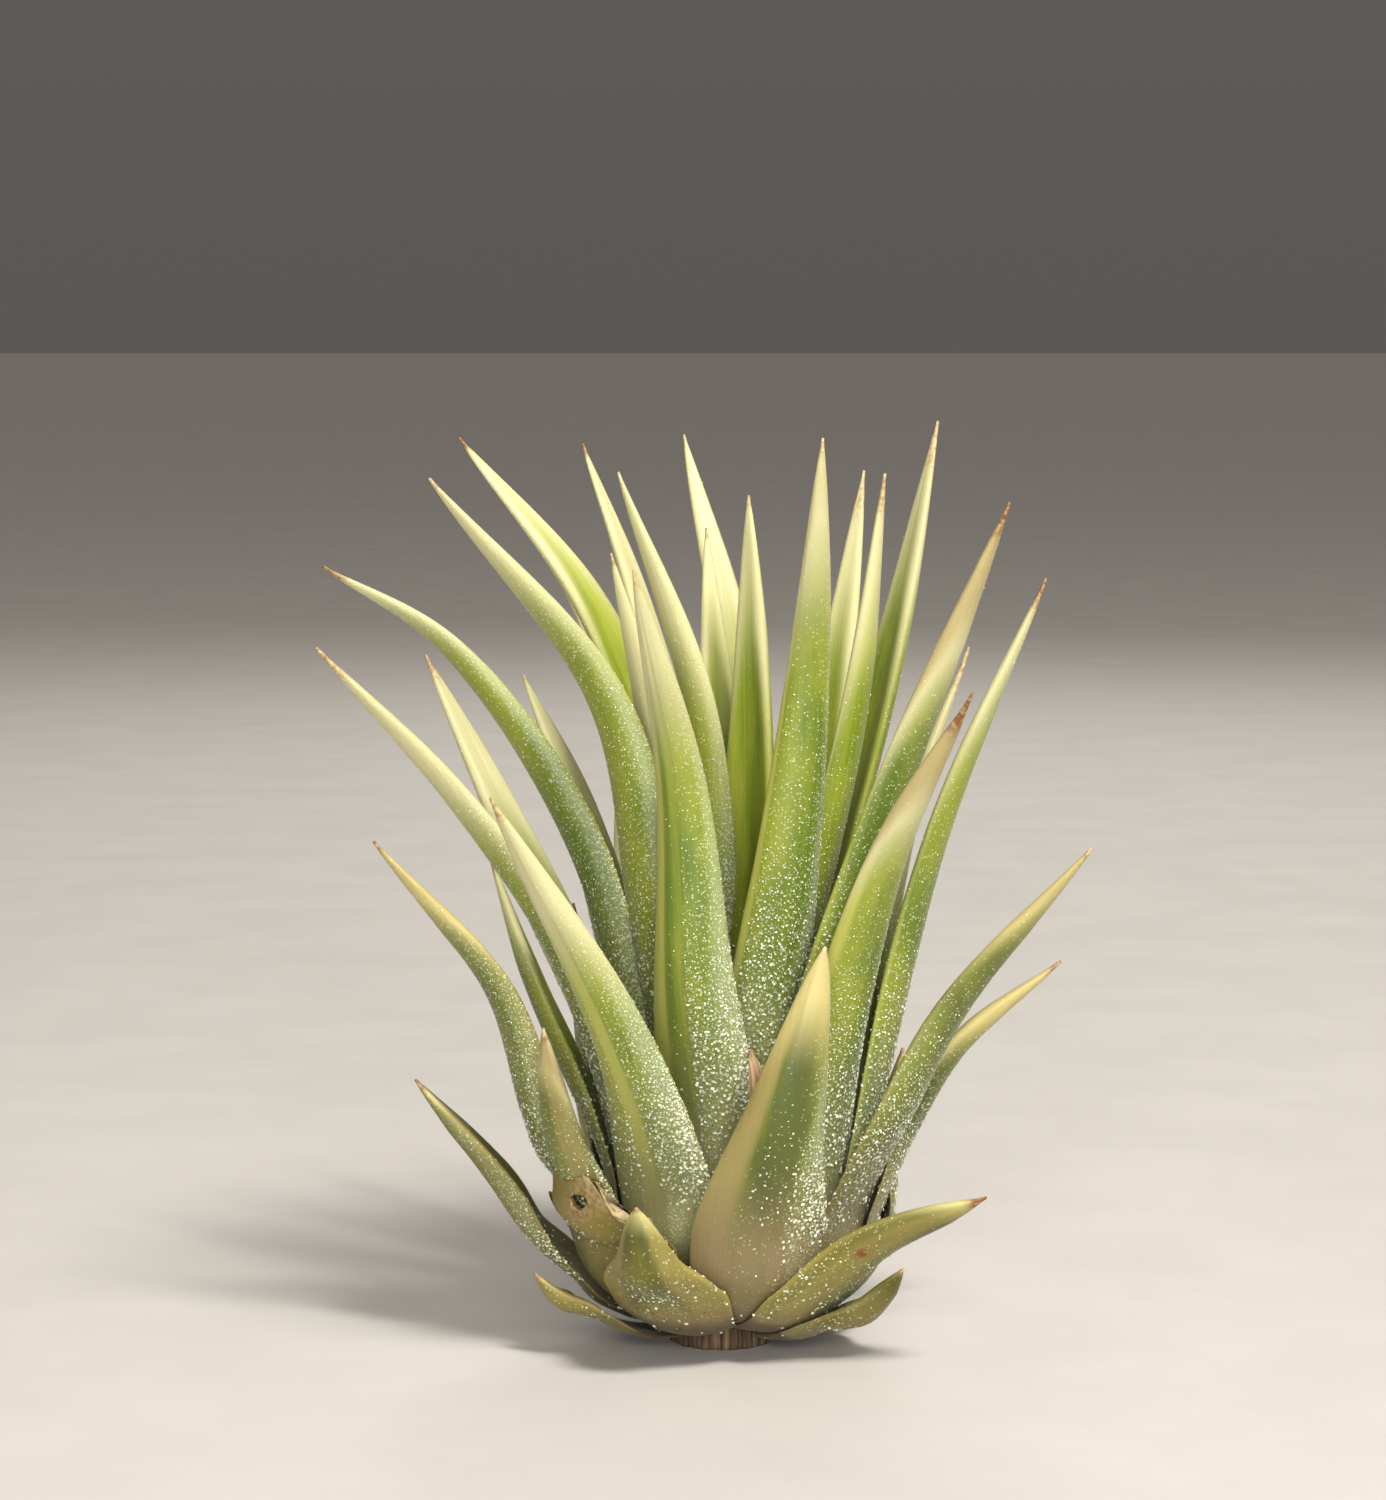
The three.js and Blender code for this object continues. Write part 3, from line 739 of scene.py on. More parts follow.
# Parts of the coat, each with the shares of the blade between which it thins out
OUTER_THINNING = ((1.1, 0.08, 0.5), (0.7, 0.35, 0.8), (0.08, 0.7, 0.98))
INNER_THINNING = ((0.55, 0.1, 0.42),)
# How much denser it gets towards one margin, between two places across: extra scales there make a
# painted highlight of glints
GLINT_CROWDING = ((1.4, 0.3, 0.9), (2.5, 0.82, 0.96))
OPEN_FACE = 0.8              # how dense it is elsewhere
HIDDEN_DEPTH = 3.2           # sheaths this far inside the bulb are out of sight,
HIDDEN_BELOW = 11            # up to this height


def in_sight(points):
    """False deep inside the bulb, where other sheaths hide a leaf's foot."""
    height = points[..., 2]
    from_axis = np.hypot(points[..., 0], points[..., 1])
    rise = np.clip(height - FIRST_ROOT_HEIGHT, 0, BULB_RISE) / BULB_RISE
    bulb = mix(STEM_FOOT_RADIUS, BULB_RADIUS, np.sqrt(1 - (1 - rise) ** 2))
    return (height > HIDDEN_BELOW) | (from_axis > bulb - HIDDEN_DEPTH)


def scale_density(row, form):
    """Scales for each square millimetre: dense low on the blade, and crowded towards one margin as
    a painted highlight of glints; none on smooth bands, and few on the pale tip, the sheath and the
    inner face."""
    blade, spot, outer_face = form["blade"], form["spot"], form["side"] > 0
    outer = sum(amount * (1 - step_up(blade, *shares)) for amount, *shares in OUTER_THINNING)
    inner = sum(amount * (1 - step_up(blade, *shares)) for amount, *shares in INNER_THINNING)
    sheath = mix(0.05, 1, step_up(form["up"], 0.8, 1.3))
    bare = in_bands(row["bands"] + row["smooth"], spot) * outer_face
    # Partly painted highlight: the scales are real, but the extra ones towards one margin stand in
    # for glints there.
    crowded = sum((more * step_up(spot, *spots) for more, *spots in GLINT_CROWDING), OPEN_FACE)
    density = SCALES_PER_MM2 * np.where(outer_face, outer, inner) * sheath * (1 - bare)
    return density * np.where(outer_face, crowded, OPEN_FACE) * in_sight(form["points"])


def scatter_scales(row, form, coating):
    """Where each scale sits, the directions of the skin and the leaf there, and its size,
    with the leaf's own chance draws, which go on to shape the scales."""
    draw = np.random.default_rng(1000 + row["seed"])
    points = form["points"]
    beside, ahead = np.roll(points, -1, axis=1)[:-1], points[1:]
    corner, opposite = points[:-1], np.roll(points, -1, axis=1)[1:]
    area = np.linalg.norm(np.cross(beside - corner, ahead - corner), axis=2)
    wanted = coating * area * scale_density(row, form)[:-1]
    counts = np.floor(wanted + draw.random(wanted.shape)).astype(int)
    each = np.repeat(np.arange(counts.size), counts.ravel())
    station, spot = np.unravel_index(each, counts.shape)
    u, v = draw.random((2, len(station), 1))
    a, b, c, d = (grid[station, spot] for grid in (corner, beside, opposite, ahead))
    place = mix(mix(a, b, u), mix(d, c, u), v)
    lift = np.cross(b - a, d - a)
    lift /= np.linalg.norm(lift, axis=1)[:, None]
    size = mix(*SCALE_GROWTH, step_up(form["blade"][station, spot], 0.05, 0.5))[:, None]
    return place, lift, form["along"][station], size, draw


def scale_points(place, lift, along, size, draw):
    """Each scale is a low dome on five corners, tilted off the skin on one edge."""
    count = len(place)
    side = np.cross(lift, along)
    spin, tilt = draw.uniform(0, 2 * math.pi, (count, 1)), draw.uniform(*SCALE_TILT, (count, 1))
    hinge = along * np.cos(spin) + side * np.sin(spin)
    rising = np.cross(hinge, lift) * np.cos(tilt) + lift * np.sin(tilt)
    facing = np.cross(rising, hinge)
    facing *= np.sign((facing * lift).sum(1))[:, None]
    half = size * draw.uniform(*SCALE_LENGTH, (count, 1)) / 2
    middle = place + lift * (half * SCALE_SLENDERNESS * np.sin(tilt) + SCALE_DOME / 2)
    corners = [middle + facing * SCALE_DOME]
    for corner in range(SCALE_SIDES):
        turn = 2 * math.pi * corner / SCALE_SIDES
        ragged = draw.uniform(0.8, 1.15, (count, 1))
        corners.append(middle + half * ragged * (
            hinge * math.cos(turn) + rising * SCALE_SLENDERNESS * math.sin(turn)))
    return np.stack(corners, axis=1).reshape(-1, 3)


def scale_faces(count):
    each = SCALE_SIDES + 1
    top = np.arange(count)[:, None] * each
    fans = []
    for side in range(SCALE_SIDES):
        following = (side + 1) % SCALE_SIDES
        fans.append(np.hstack([top, top + 1 + side, top + 1 + following]))
    return np.concatenate(fans)


def scale_material():
    """A leaf scale: a dead, empty disc of cells, silver-white and a little glossy."""
    material, tree, shader = new_material("silver_scales")
    sockets = {"Skin": mark(tree, "skin"), "Patches per mm": 2.0}
    patch = place_effect(tree, BLOTCHES, sockets)["Patch"]
    connect(tree, shader, {
        "Base Color": blend(tree, patch, linear(SCALE_SILVER), linear(SCALE_WARM)),
        "Roughness": fade(tree, patch, 0.0, 1.0, 0.28, 0.5),
    })
    return material


silver_scales = scale_material()


def lay_scales(row, form, coating):
    """The coat of scales on a leaf, as one piece."""
    place, lift, along, size, draw = scatter_scales(row, form, coating)
    marks = {"skin": np.repeat(place, SCALE_SIDES + 1, axis=0)}
    points, faces = scale_points(place, lift, along, size, draw), scale_faces(len(place))
    coat = mesh_piece(row["name"] + "_scales", points, faces, silver_scales, marks)
    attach(coat, "root")


def dress_leaf(row, skin, coating=1.0):
    """A leaf's piece and the coat of scales on it, in the place of its plain solid."""
    lay(row)
    form = leaf_form(row)
    points, faces = form["points"].reshape(-1, 3), capped_sleeve(*form["spot"].shape)
    piece = mesh_piece(row["name"] + "_leaf", points, faces, skin, painted(row, form))
    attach(piece, "root")
    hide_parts(row["node"])
    lay_scales(row, form, coating)


low_skin = leaf_skin(
    "low_leaf_skin", LOW_DEEP, LOW_BRIGHT, LOW_PALE, LOW_BARE, LOW_SHEATH,
    scurf=0.5, dirt=0.6)

LOW_LEAVES = [
    leaf("low_left_small", 207, 6, [(-12.6, -6.3, 4.6), (-14.5, -7, 6.8)], 2.2,
         pale=1.1, point=0.6, bands=((0.2, 1, 0.6),)),
    leaf("low_back_small", 95, 7, [(-1.2, 13.5, 5), (-1.5, 17.5, 9)], 1.6),
    leaf("low_right_under", 330, 9, [(11.2, -6.8, 3.5), (14, -7, 7.2)], 1.4,
         pale=1.1, point=0.6),
    leaf("low_front_small", 247, 10.5, [(-5.9, -14.4, 8.5), (-6.5, -15.6, 14)], 4,
         pale=0.92, point=0.5, rust=0.4, bands=((-0.75, 0.25, 0.6), (0.7, 0.3, 0.6))),
    leaf("low_back_right", 40, 8, [(10.5, 10, 9.5), (13, 15, 16)], 4),
    leaf("low_left", 181, 9, [(-14.7, -1.4, 8.4), (-17.7, -2.4, 13.4), (-23.9, -3, 21.3)], 4,
         pale=1.05, point=1.2, rust=0.8, withered=0.4),
    leaf("low_right", 312, 10.5, [(12.5, -11.5, 10.2), (19.9, -13, 14.2)], 3,
         pale=0.9, point=1.6, rust=0.9, bands=((-0.45, 0.3, 0.5),), spots=((0.4, -0.5, 0.6),)),
    leaf("low_back_left", 130, 8, [(-9, 12.5, 10.5), (-12, 17, 17)], 4),
]

for row in LOW_LEAVES:
    dress_leaf(row, low_skin, LOW_COATING)


# ---- Torn sheath ----
# All that is left of a leaf that broke off at the lower left: its sheath, with a small
# bored hole ringed with rust, and a ragged rim that has dried tan and curled over.

TORN_THICKNESS = 0.85
TORN_TAPER = 0.16          # share of its width that it loses by the rim
TORN_ROLL = 0.62           # half the angle that it is rolled through there
RAG_HEIGHT = 0.4
RAG_TURNS = (7, 31)        # how fast the rim's broad and fine points follow each other
RAG_START = 1
RAGGED_FROM = 0.8          # share of the blade above which the rim is uneven
RIM_FALL = (0.7, 1.8)      # how far the rim slopes down to its left and right ends
CURL_LENGTH = 1.3
CURL_RADIUS = 0.38
CURL_FROM = 0.2            # the rim curls to the right of this place across
RIM_THICKNESS = 0.3
HOLE_RADIUS = 0.8
HOLE_SHARE = 0.9           # how far up the sheath it is
HOLE_SIDESTEP = 0.4        # how far left of its middle
HOLE_REACH = 1.8           # how deep the drill goes to each side
HOLE_FLATNESS = 0.75
HOLE_AIM = (-0.3, -0.95, 0.1)  # it was bored from the front
HOLE_SIDES = 18
TORN_DEEP = 0x5c5216
TORN_BRIGHT = 0x80702a
TORN_TAN = 0x8f7440
TORN_SHEATH = 0x7a6e34
TORN_COATING = 0.28
RIM_DRYNESS = 0.85         # how dead the curled part of the rim is
HOLE_DRYNESS = 0.6         # the same for the ring round the hole
TORN_RUST = (0.4, 0.75)    # from straw to rust, for the rim and for the hole


def torn_section(row, over_bulb, blade, _):
    """As a leaf's, but it ends broad, at a thin rim."""
    rolled = step_up(blade, 0, ROLLED_SHARE)
    thickness = mix(SHEATH_THICKNESS, TORN_THICKNESS, rolled)
    thickness = mix(thickness, RIM_THICKNESS, step_up(blade, 0.55, 1))
    angle = mix(sheath_angle(row, row["layer"]), TORN_ROLL, rolled)
    return full_width(row, over_bulb, blade) * (1 - TORN_TAPER * blade), thickness, angle


def curl_rim(form):
    """The ragged top of the sheath, rolled outwards where it has dried."""
    spot, along = form["spot"], form["along"][:, None, :]
    broad, fine = RAG_TURNS
    ragged = RAG_HEIGHT * np.sin(broad * spot + RAG_START) + RAG_HEIGHT / 3 * np.sin(fine * spot)
    ragged = ragged * step_up(form["blade"], RAGGED_FROM, 1)
    fall = RIM_FALL[0] * step_up(-spot, 0.1, 1) + RIM_FALL[1] * step_up(spot, 0.15, 1)
    ragged = ragged - fall * step_up(form["blade"], 0, 1)
    beyond = np.clip(CURL_LENGTH - form["from_tip"], 0, None)
    bend = np.maximum(step_up(spot, CURL_FROM, CURL_FROM + 0.5) / CURL_RADIUS, 1e-3)
    turn = (beyond * bend)[..., None]
    bend, beyond = bend[..., None], beyond[..., None]
    start = form["middle"] + along * (ragged[..., None] - beyond)
    rolled = start + along * np.sin(turn) / bend + form["lift"] * (1 - np.cos(turn)) / bend
    facing = form["lift"] * np.cos(turn) - along * np.sin(turn)
    return rolled + facing * form["depth"][..., None]


def drill_mesh(centre, aim):
    """A slightly ragged drill for the hole, wider than high, through both faces."""
    side = np.cross([0, 0, 1], aim)
    side = side / np.linalg.norm(side)
    upright = np.cross(aim, side)
    turn = np.linspace(0, 2 * math.pi, HOLE_SIDES, endpoint=False)[:, None]
    ragged = HOLE_RADIUS * (1 + 0.12 * np.sin(3 * turn) + 0.08 * np.sin(7 * turn))
    rim = centre + ragged * (side * np.cos(turn) + HOLE_FLATNESS * upright * np.sin(turn))
    points = np.concatenate([rim - aim * HOLE_REACH, rim + aim * HOLE_REACH])
    return mesh_piece("drill", points, capped_sleeve(2, HOLE_SIDES), torn_skin, {})


def bore(piece, drill, marks):
    """Cuts the hole, and marks the new skin as the nearest old point was marked."""
    old = kdtree.KDTree(len(piece.data.vertices))
    for point in piece.data.vertices:
        old.insert(point.co, point.index)
    old.balance()
    cut = piece.modifiers.new("bored", "BOOLEAN")
    cut.object = drill
    cut.operation = "DIFFERENCE"
    cut.solver = "EXACT"
    bpy.context.view_layer.update()
    evaluated = piece.evaluated_get(bpy.context.evaluated_depsgraph_get())
    bored = bpy.data.meshes.new_from_object(evaluated)
    piece.modifiers.clear()
    piece.data = bored
    bpy.data.objects.remove(drill)
    nearest = [old.find(point.co)[1] for point in bored.vertices]
    for label, values in marks.items():
        if label in bored.attributes:
            bored.attributes.remove(bored.attributes[label])
        layer = bored.attributes.new(label, "FLOAT_VECTOR", "POINT")
        layer.data.foreach_set("vector", values[nearest].astype(np.float32).ravel())


torn = leaf("torn", 223, 13, [(-10.1, -10, 11.2), (-10.6, -10.7, 15)], 7,
            pale=2, node="torn_sheath")
lay(torn)
torn_skin = leaf_skin(
    "torn_sheath_skin", TORN_DEEP, TORN_BRIGHT, TORN_TAN, TORN_TAN, TORN_SHEATH,
    scurf=0.15, dirt=0.5)
torn_form = leaf_form(torn, torn_section)
torn_places = torn_form["place"][:, 0]
hole_station = np.abs(torn_places / torn_places[-1] - HOLE_SHARE).argmin()
hole_spot = np.abs(torn_form["across_mm"][hole_station, :OUTER_POINTS] + HOLE_SIDESTEP).argmin()
hole_middle = torn_form["points"][hole_station, hole_spot]
hole_aim = np.array(HOLE_AIM) / math.hypot(*HOLE_AIM)
from_hole = np.linalg.norm(torn_form["points"] - hole_middle, axis=-1)
torn_form["points"] = curl_rim(torn_form)
torn_marks = painted(torn, torn_form)
rim_dry = step_up(torn_form["blade"], 0.5, 0.95) * step_up(torn_form["spot"], -0.5, 0.3)
hole_dry = 1 - step_up(from_hole, HOLE_RADIUS * 1.05, HOLE_RADIUS * 3)
hole_rust = 1 - step_up(from_hole, HOLE_RADIUS, HOLE_RADIUS * 2.6)
torn_dry = np.maximum(RIM_DRYNESS * rim_dry, HOLE_DRYNESS * hole_dry)
torn_marks["paint"][:, 1] = torn_dry.ravel()
torn_marks["growth"][:, 2] = mix(*TORN_RUST, hole_rust).ravel()
torn_sheath = mesh_piece(
    "torn_old_sheath", torn_form["points"].reshape(-1, 3),
    capped_sleeve(*torn_form["spot"].shape), torn_skin, torn_marks)
bore(torn_sheath, drill_mesh(hole_middle, hole_aim), torn_marks)
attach(torn_sheath, "root")
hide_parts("torn_sheath")
lay_scales(torn, torn_form, TORN_COATING)


# ---- Outer leaves ----
# The grown leaves of the outer ring. Their sheaths make the bulb's bulging sides and
# their blades lean out all round. Green and well coated with silver scales, they are
# yellow towards the tip, with smooth straw-coloured bands where they were pressed.

OUTER_DEEP = 0x3c4808
OUTER_BRIGHT = 0x6c7420
OUTER_PALE = 0xbcae70
OUTER_BARE = 0x998950
OUTER_SHEATH = 0x7c6a48

outer_skin = leaf_skin(
    "outer_leaf_skin", OUTER_DEEP, OUTER_BRIGHT, OUTER_PALE, OUTER_BARE, OUTER_SHEATH)

OUTER_LEAVES = [
    leaf("back_low", 72, 9, [(4, 17, 17), (5, 25, 27)], pale=0.72),
    leaf("right_hidden", 8, 8, [(13.4, 2.5, 15), (14.4, 3, 22.7)], pale=0.8, point=1),
    leaf("front_broad", 284, 11, [(5.2, -15, 21.5), (7.6, -14.5, 33.6)],
         pale=0.74, point=1, rust=0.3, bands=((-0.74, 0.3, 1),), smooth=((-0.12, 0.42, 0.85),)),
    leaf("left_yellow", 212, 9, [(-12.5, -9.8, 17.5), (-13.6, -11, 26.8)], 7,
         pale=0.82, point=1.2, rust=0.5, withered=0.7,
         bands=((0.6, 0.3, 0.8), (-0.85, 0.15, 0.6))),
    leaf("right_low", 356, 8, [(18.5, 0.3, 23), (26.7, 1, 30)], pale=0.66),
    leaf("left_low", 199, 8.5,
         [(-13.3, -3.8, 14.8), (-14.7, -5.6, 19), (-17.5, -7, 29), (-26.4, -10, 40.9)], 7.5,
         pale=0.82, point=1.2, rust=0.85, withered=0.3, bands=((0.8, 0.2, 0.35),)),
    leaf("back_left_low", 155, 8, [(-10.5, 7.5, 20), (-12, 12, 33)], pale=0.72),
    leaf("right_mid", 334, 9, [(14, -8.8, 20), (18.2, -9, 28.3), (27.6, -13, 40.8)],
         pale=0.84, point=1.2, rust=0.5, withered=0.2, spots=((0.88, 0.2, 0.4),)),
    leaf("back_mid", 105, 8.5, [(-3, 17, 21), (-4, 27, 32.5)], pale=0.72),
    leaf("back_right_low", 48, 8.5, [(8.5, 12, 22), (12, 21, 34.5)], pale=0.72),
]

for row in OUTER_LEAVES:
    dress_leaf(row, outer_skin)


# ---- Dry bract ----
# The tip of a small dead leaf, caught between two front leaves. It has dried to brown
# paper, thin and creased, with its edges curled in.

BRACT_TAPER = 0.7          # a blunter point than a leaf's
BRACT_THICKNESS = 0.3
CREASE_DEPTH = 0.16
CREASE_TURNS = 9           # how fast creases follow each other, across and along
BRACT_BROWN = 0x745039
BRACT_PINK = 0xb58c6c
BRACT_STRAW = 0.4          # how straw-coloured the fibres have turned


def bract_section(row, over_bulb, blade, from_tip):
    """As a leaf's, but fuller towards the tip, and as thin as paper."""
    width, thickness, angle = cross_section(row, over_bulb, blade, from_tip)
    fuller = np.maximum(1 - blade, 0.01) ** (BRACT_TAPER - TAPER_POWER)
    thinned = mix(SHEATH_THICKNESS, BRACT_THICKNESS, step_up(blade, 0, 0.5))
    return width * fuller, np.minimum(thickness, thinned), angle


def dry_paper_material():
    """Dead leaf, thin and brown, pinkish in patches and paler along its fibres."""
    material, tree, shader = new_material("dry_bract_paper")
    skin = mark(tree, "skin")
    lines = place_effect(tree, FIBRES, {"Skin": skin, "Lines per mm": 4.0})["Lines"]
    patch = place_effect(tree, BLOTCHES, {"Skin": skin, "Patches per mm": 0.9})["Patch"]
    brown = blend(tree, patch, linear(BRACT_BROWN), linear(BRACT_PINK))
    strawy = calculate(tree, "MULTIPLY", lines, BRACT_STRAW)
    connect(tree, shader, {
        "Base Color": blend(tree, strawy, brown, linear(STRAW)),
        "Roughness": fade(tree, lines, 0.0, 1.0, 0.75, 0.5),
        "Normal": bumped(tree, lines, 0.8, 0.08),
    })
    return material


bract = leaf("dry", 285, 5, [(3.4, -11.8, 19), (2.1, -11.6, 25.2)], point=0.4, node="dry_bract")
lay(bract)
bract_form = leaf_form(bract, bract_section)
crossing = np.sin(CREASE_TURNS * bract_form["blade"] + 1)
creases = np.sin(CREASE_TURNS * bract_form["spot"]) * crossing
creased = CREASE_DEPTH * creases * step_up(bract_form["blade"], 0.1, 0.5)
bract_points = bract_form["points"] + bract_form["lift"] * creased[..., None]
dry_bract = mesh_piece(
    "dry_bract_tip", bract_points.reshape(-1, 3), capped_sleeve(*bract_form["spot"].shape),
    dry_paper_material(), painted(bract, bract_form))
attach(dry_bract, "root")
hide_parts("dry_bract")


# ---- Middle leaves ----
# The full-grown leaves, the longest of all, arching out and up. Their gutters are the
# deepest, their scales stand dense and bright low on the blade, and the upper third
# is cream, with a dry brown or straw-white point.

MIDDLE_DEEP = 0x506808
MIDDLE_BRIGHT = 0x828c1c
MIDDLE_PALE = 0xc0bb8c
MIDDLE_BARE = 0xaeae52
MIDDLE_SHEATH = 0x9a9468

middle_skin = leaf_skin(
    "middle_leaf_skin", MIDDLE_DEEP, MIDDLE_BRIGHT, MIDDLE_PALE, MIDDLE_BARE, MIDDLE_SHEATH)

MIDDLE_LEAVES = [
    leaf("left_dark", 180, 7, [(-14.2, -3, 27.5), (-18, -3, 38.9)],
         pale=0.82, bands=((0.8, 0.2, 0.6),)),
    leaf("front_left", 242, 8.6, [(-8.5, -16, 27.7), (-17.1, -19, 45.3)],
         pale=0.66, point=2.2, rust=0.4, bands=((-0.66, 0.34, 0.5), (-0.12, 0.18, 0.9))),
    leaf("right_tall", 350, 9, [(17.2, -4, 41.8), (24.7, -5, 60.5)], pale=0.82, point=3, rust=0.75),
    leaf("back_left_mid", 128, 8, [(-7, 14, 27.5), (-8.5, 24, 43.3)], pale=0.72),
    leaf("left_mid", 205, 9.5, [(-12.5, -9, 32), (-20.6, -10.5, 44.7), (-30.2, -14, 55.9)],
         pale=0.66, point=3.2, rust=0.45),
    leaf("front_right", 312, 9.5, [(12.6, -13.5, 40), (18.2, -18, 52.9)],
         pale=0.76, point=4, rust=0.9, withered=0.8, bands=((-0.86, 0.16, 0.9),)),
    leaf("back_high", 80, 8, [(2, 14, 29.5), (3.5, 24, 45)], pale=0.72),
    leaf("left_back", 165, 8, [(-17.9, 4.5, 42), (-23.7, 9, 53.5)],
         pale=0.64, point=2.6, rust=0.4, twist=-30),
    leaf("right_back", 12, 8, [(15.5, 4.5, 43), (19.8, 8, 54.2)], pale=0.62, point=4, rust=0.35),
    leaf("front", 262, 9.2, [(-2.3, -13, 29.4), (-3.3, -14.5, 46), (-6.6, -19, 61.9)],
         pale=0.8, point=1.4, rust=0.4, bands=((-0.76, 0.28, 1), (-0.2, 0.09, 0.8)),
         smooth=((-0.35, 0.2, 0.85),)),
    leaf("left_far", 148, 7.5, [(-11.6, 11, 41), (-16.2, 16, 51.3)],
         pale=0.62, point=0.8, rust=0.3, twist=-20),
    leaf("right_front", 328, 10, [(9.9, -8.2, 33), (14.7, -9.5, 48.7), (21.2, -13, 66.6)],
         pale=0.78, point=3, rust=0.85, withered=0.8),
    leaf("left_high", 190, 8, [(-11.5, -3, 40.5), (-21, -3, 55), (-30.7, -3, 61.3)],
         pale=0.86, point=2.2, rust=0.7, twist=28),
    leaf("back_right_high", 28, 7.5, [(8.5, 8.5, 32.5), (12, 16, 48.5)], pale=0.72),
    leaf("front_high", 292, 8.8, [(5.1, -9.4, 37.8), (6.7, -10.5, 55.5), (7.3, -14, 71.4)],
         pale=0.84, point=1.2, rust=0.3, withered=0.2, bands=((-0.9, 0.12, 0.9),)),
    leaf("front_left_high", 222, 9.5, [(-6, -8.7, 36), (-9.1, -10, 51.5), (-21.8, -13, 68.4)],
         pale=0.82, point=1.6, rust=0.2),
    leaf("right_high", 35, 8.5, [(13, 6.5, 51), (17.5, 13, 72.1)], pale=0.82, point=4.6, rust=0.25),
    leaf("back_left_high", 125, 7.5, [(-9, 9, 52), (-15.4, 16, 64.5)],
         pale=0.66, point=0.8, rust=0.5),
]

for row in MIDDLE_LEAVES:
    dress_leaf(row, middle_skin)


# ---- Heart leaves ----
# The youngest leaves, upright and close together. They are the brightest yellow-green,
# smooth and olive on the inner face, cream above, and dusted with scales at the foot.

HEART_DEEP = 0x708414
HEART_BRIGHT = 0x98a034
HEART_PALE = 0xcdc896
HEART_BARE = 0xd3cb85
HEART_SHEATH = 0x8c9c4e

heart_skin = leaf_skin(
    "heart_leaf_skin", HEART_DEEP, HEART_BRIGHT, HEART_PALE, HEART_BARE, HEART_SHEATH,
    scurf=0.35)

HEART_LEAVES = [
    leaf("heart_front", 245, 6.5, [(-5.2, -7.2, 48), (-8.4, -10, 62.7)], pale=0.62, point=1),
    leaf("heart_right", 335, 8, [(10, -5, 48.1), (12.2, -8, 68.6)], pale=0.8, point=3.5, rust=0.3),
    leaf("heart_far_left", 178, 8.5, [(-5, 0, 43), (-10.4, 1, 58), (-20.6, 4, 71)],
         pale=0.84, point=1.6, rust=0.85, spots=((0.87, 0, 0.45),), twist=-45),
    leaf("heart_back_right", 60, 7.5, [(8.8, 7.5, 50), (11.6, 14, 68.1)],
         pale=0.78, point=4.4, rust=0.15),
    leaf("heart_back", 98, 8, [(1.3, 10.5, 50), (-3, 18, 70.9)], pale=0.7, point=0.8, rust=0.3),
    leaf("heart_left", 145, 7.5, [(-3, 4.8, 40), (-6.8, 6.5, 58.2), (-11.1, 11, 70.3)],
         pale=0.72, point=1.4, rust=0.8),
    leaf("heart_centre", 50, 9, [(2.7, 3, 47), (2.1, 4, 66.5)], pale=0.82, point=0.9, rust=0.4),
    leaf("heart_middle", 105, 7, [(-0.4, 6.8, 48), (-1.2, 11, 63.6)], pale=0.82, point=0.8),
    leaf("heart_near_left", 215, 8, [(-2.1, -1, 50), (-8, -2, 68.5)],
         pale=0.68, point=0.8, rust=0.3),
]

for row in HEART_LEAVES:
    dress_leaf(row, heart_skin)


# ---- Floor, light and camera ----
# A plain pale floor that runs out of sight, a soft lamp high in front on the right, a
# broad one low in front, a weak one behind, and the sky of a studio. The camera looks a
# little down.

FLOOR_REACH = 40.0         # metres
FLOOR_SIDES = 64
FLOOR_SHADE = 0xc9c5c1
FLOOR_GRAIN = 60.0         # patches to the metre
SKY_LOW = 0x98918c
SKY_HIGH = 0xf0eae0
SKY_STRENGTH = 0.34
VIEW_MIDDLE = Vector((-2.26, 0, 46.8)) * MM
VIEW_DISTANCE = 300 * MM
VIEW_TILT = 6              # degrees above level
SENSOR_HEIGHT = 36
LENS = 92.3


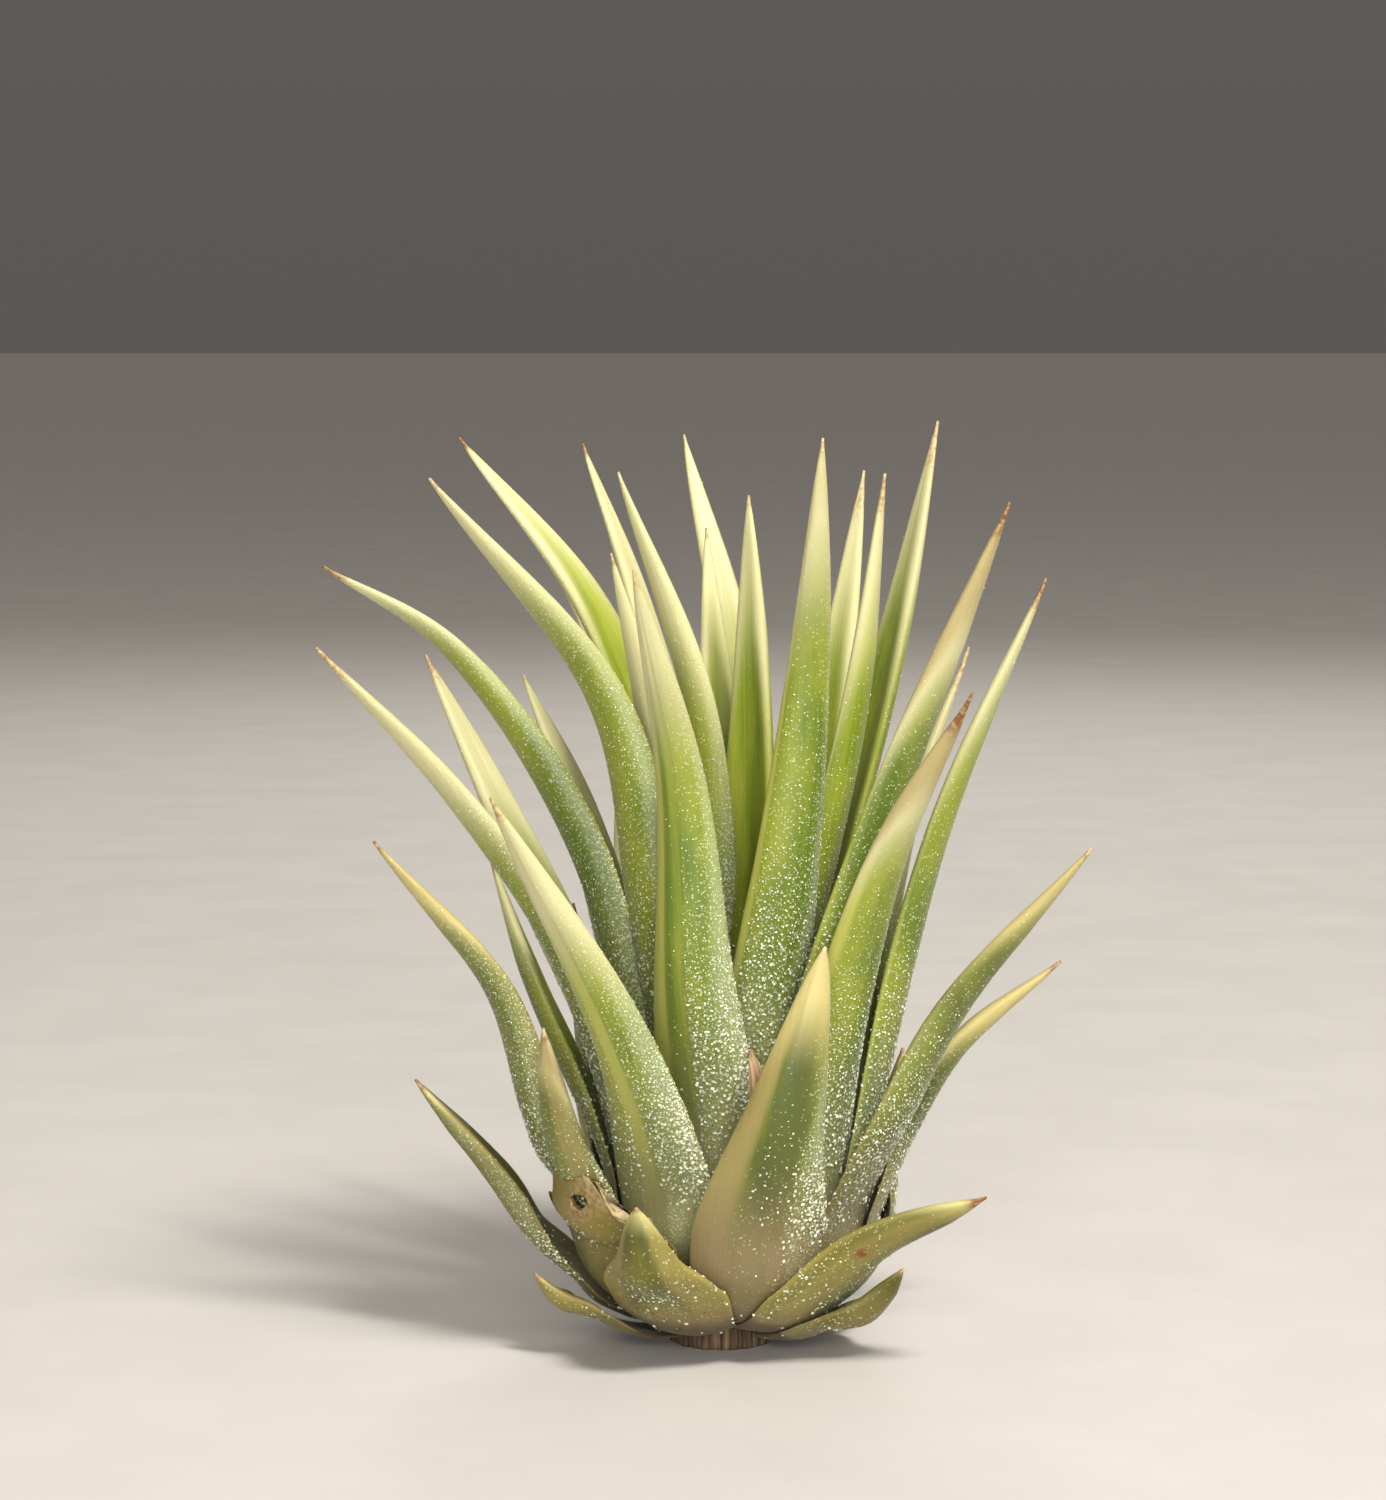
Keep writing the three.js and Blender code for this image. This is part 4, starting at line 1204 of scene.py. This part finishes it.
def floor_material():
    material, tree, shader = new_material("pale_floor")
    place = add(tree, "ShaderNodeTexCoord").outputs["Object"]
    grain = noise(tree, place, FLOOR_GRAIN, 4.0)
    shade = fade(tree, grain, 0.3, 0.7, 0.0, 0.05)
    connect(tree, shader, {
        "Base Color": blend(tree, shade, linear(FLOOR_SHADE), linear(0x000000)),
        "Roughness": fade(tree, grain, 0.3, 0.7, 0.8, 0.95),
    })
    return material


turn = np.linspace(0, 2 * math.pi, FLOOR_SIDES, endpoint=False)
rim = FLOOR_REACH / MM * np.stack([np.cos(turn), np.sin(turn), 0 * turn], axis=-1)
floor = mesh_piece("floor", rim, [range(FLOOR_SIDES)], floor_material(), {})


def lamp(name, place, watts, size, colour):
    """A soft square lamp, its place and size in metres, aimed at the middle of the plant."""
    light = bpy.data.lights.new(name, "AREA")
    light.energy = watts
    light.size = size
    light.color = colour
    holder = bpy.data.objects.new(name, light)
    holder.location = place
    holder.rotation_euler = (VIEW_MIDDLE - Vector(place)).to_track_quat("-Z", "Y").to_euler()
    bpy.context.scene.collection.objects.link(holder)


lamp("key", (0.22, -0.34, 0.57), watts=5.2, size=0.12, colour=(1.0, 0.96, 0.89))
lamp("fill", (0.02, -0.62, 0.13), watts=4.0, size=0.45, colour=(1.0, 0.98, 0.96))
lamp("back", (0.05, 0.5, 0.4), watts=1.0, size=0.3, colour=(1.0, 0.98, 0.92))

world = bpy.data.worlds.new("studio")
world.use_nodes = True
sky = world.node_tree
upward = split(sky, add(sky, "ShaderNodeTexCoord").outputs["Generated"])["Z"]
sky_colour = blend(sky, fade(sky, upward, 0.0, 0.7), linear(SKY_LOW), linear(SKY_HIGH))
sky.links.new(sky_colour, sky.nodes["Background"].inputs["Color"])
sky.nodes["Background"].inputs["Strength"].default_value = SKY_STRENGTH
bpy.context.scene.world = world
bpy.context.scene.view_settings.view_transform = "Standard"

tilt = math.radians(VIEW_TILT)
camera_data = bpy.data.cameras.new("camera")
camera_data.sensor_fit = "VERTICAL"
camera_data.sensor_height = SENSOR_HEIGHT
camera_data.lens = LENS
camera = bpy.data.objects.new("camera", camera_data)
camera.location = VIEW_MIDDLE + VIEW_DISTANCE * Vector((0, -math.cos(tilt), math.sin(tilt)))
camera.rotation_euler = (VIEW_MIDDLE - camera.location).to_track_quat("-Z", "Y").to_euler()
bpy.context.scene.collection.objects.link(camera)
bpy.context.scene.camera = camera
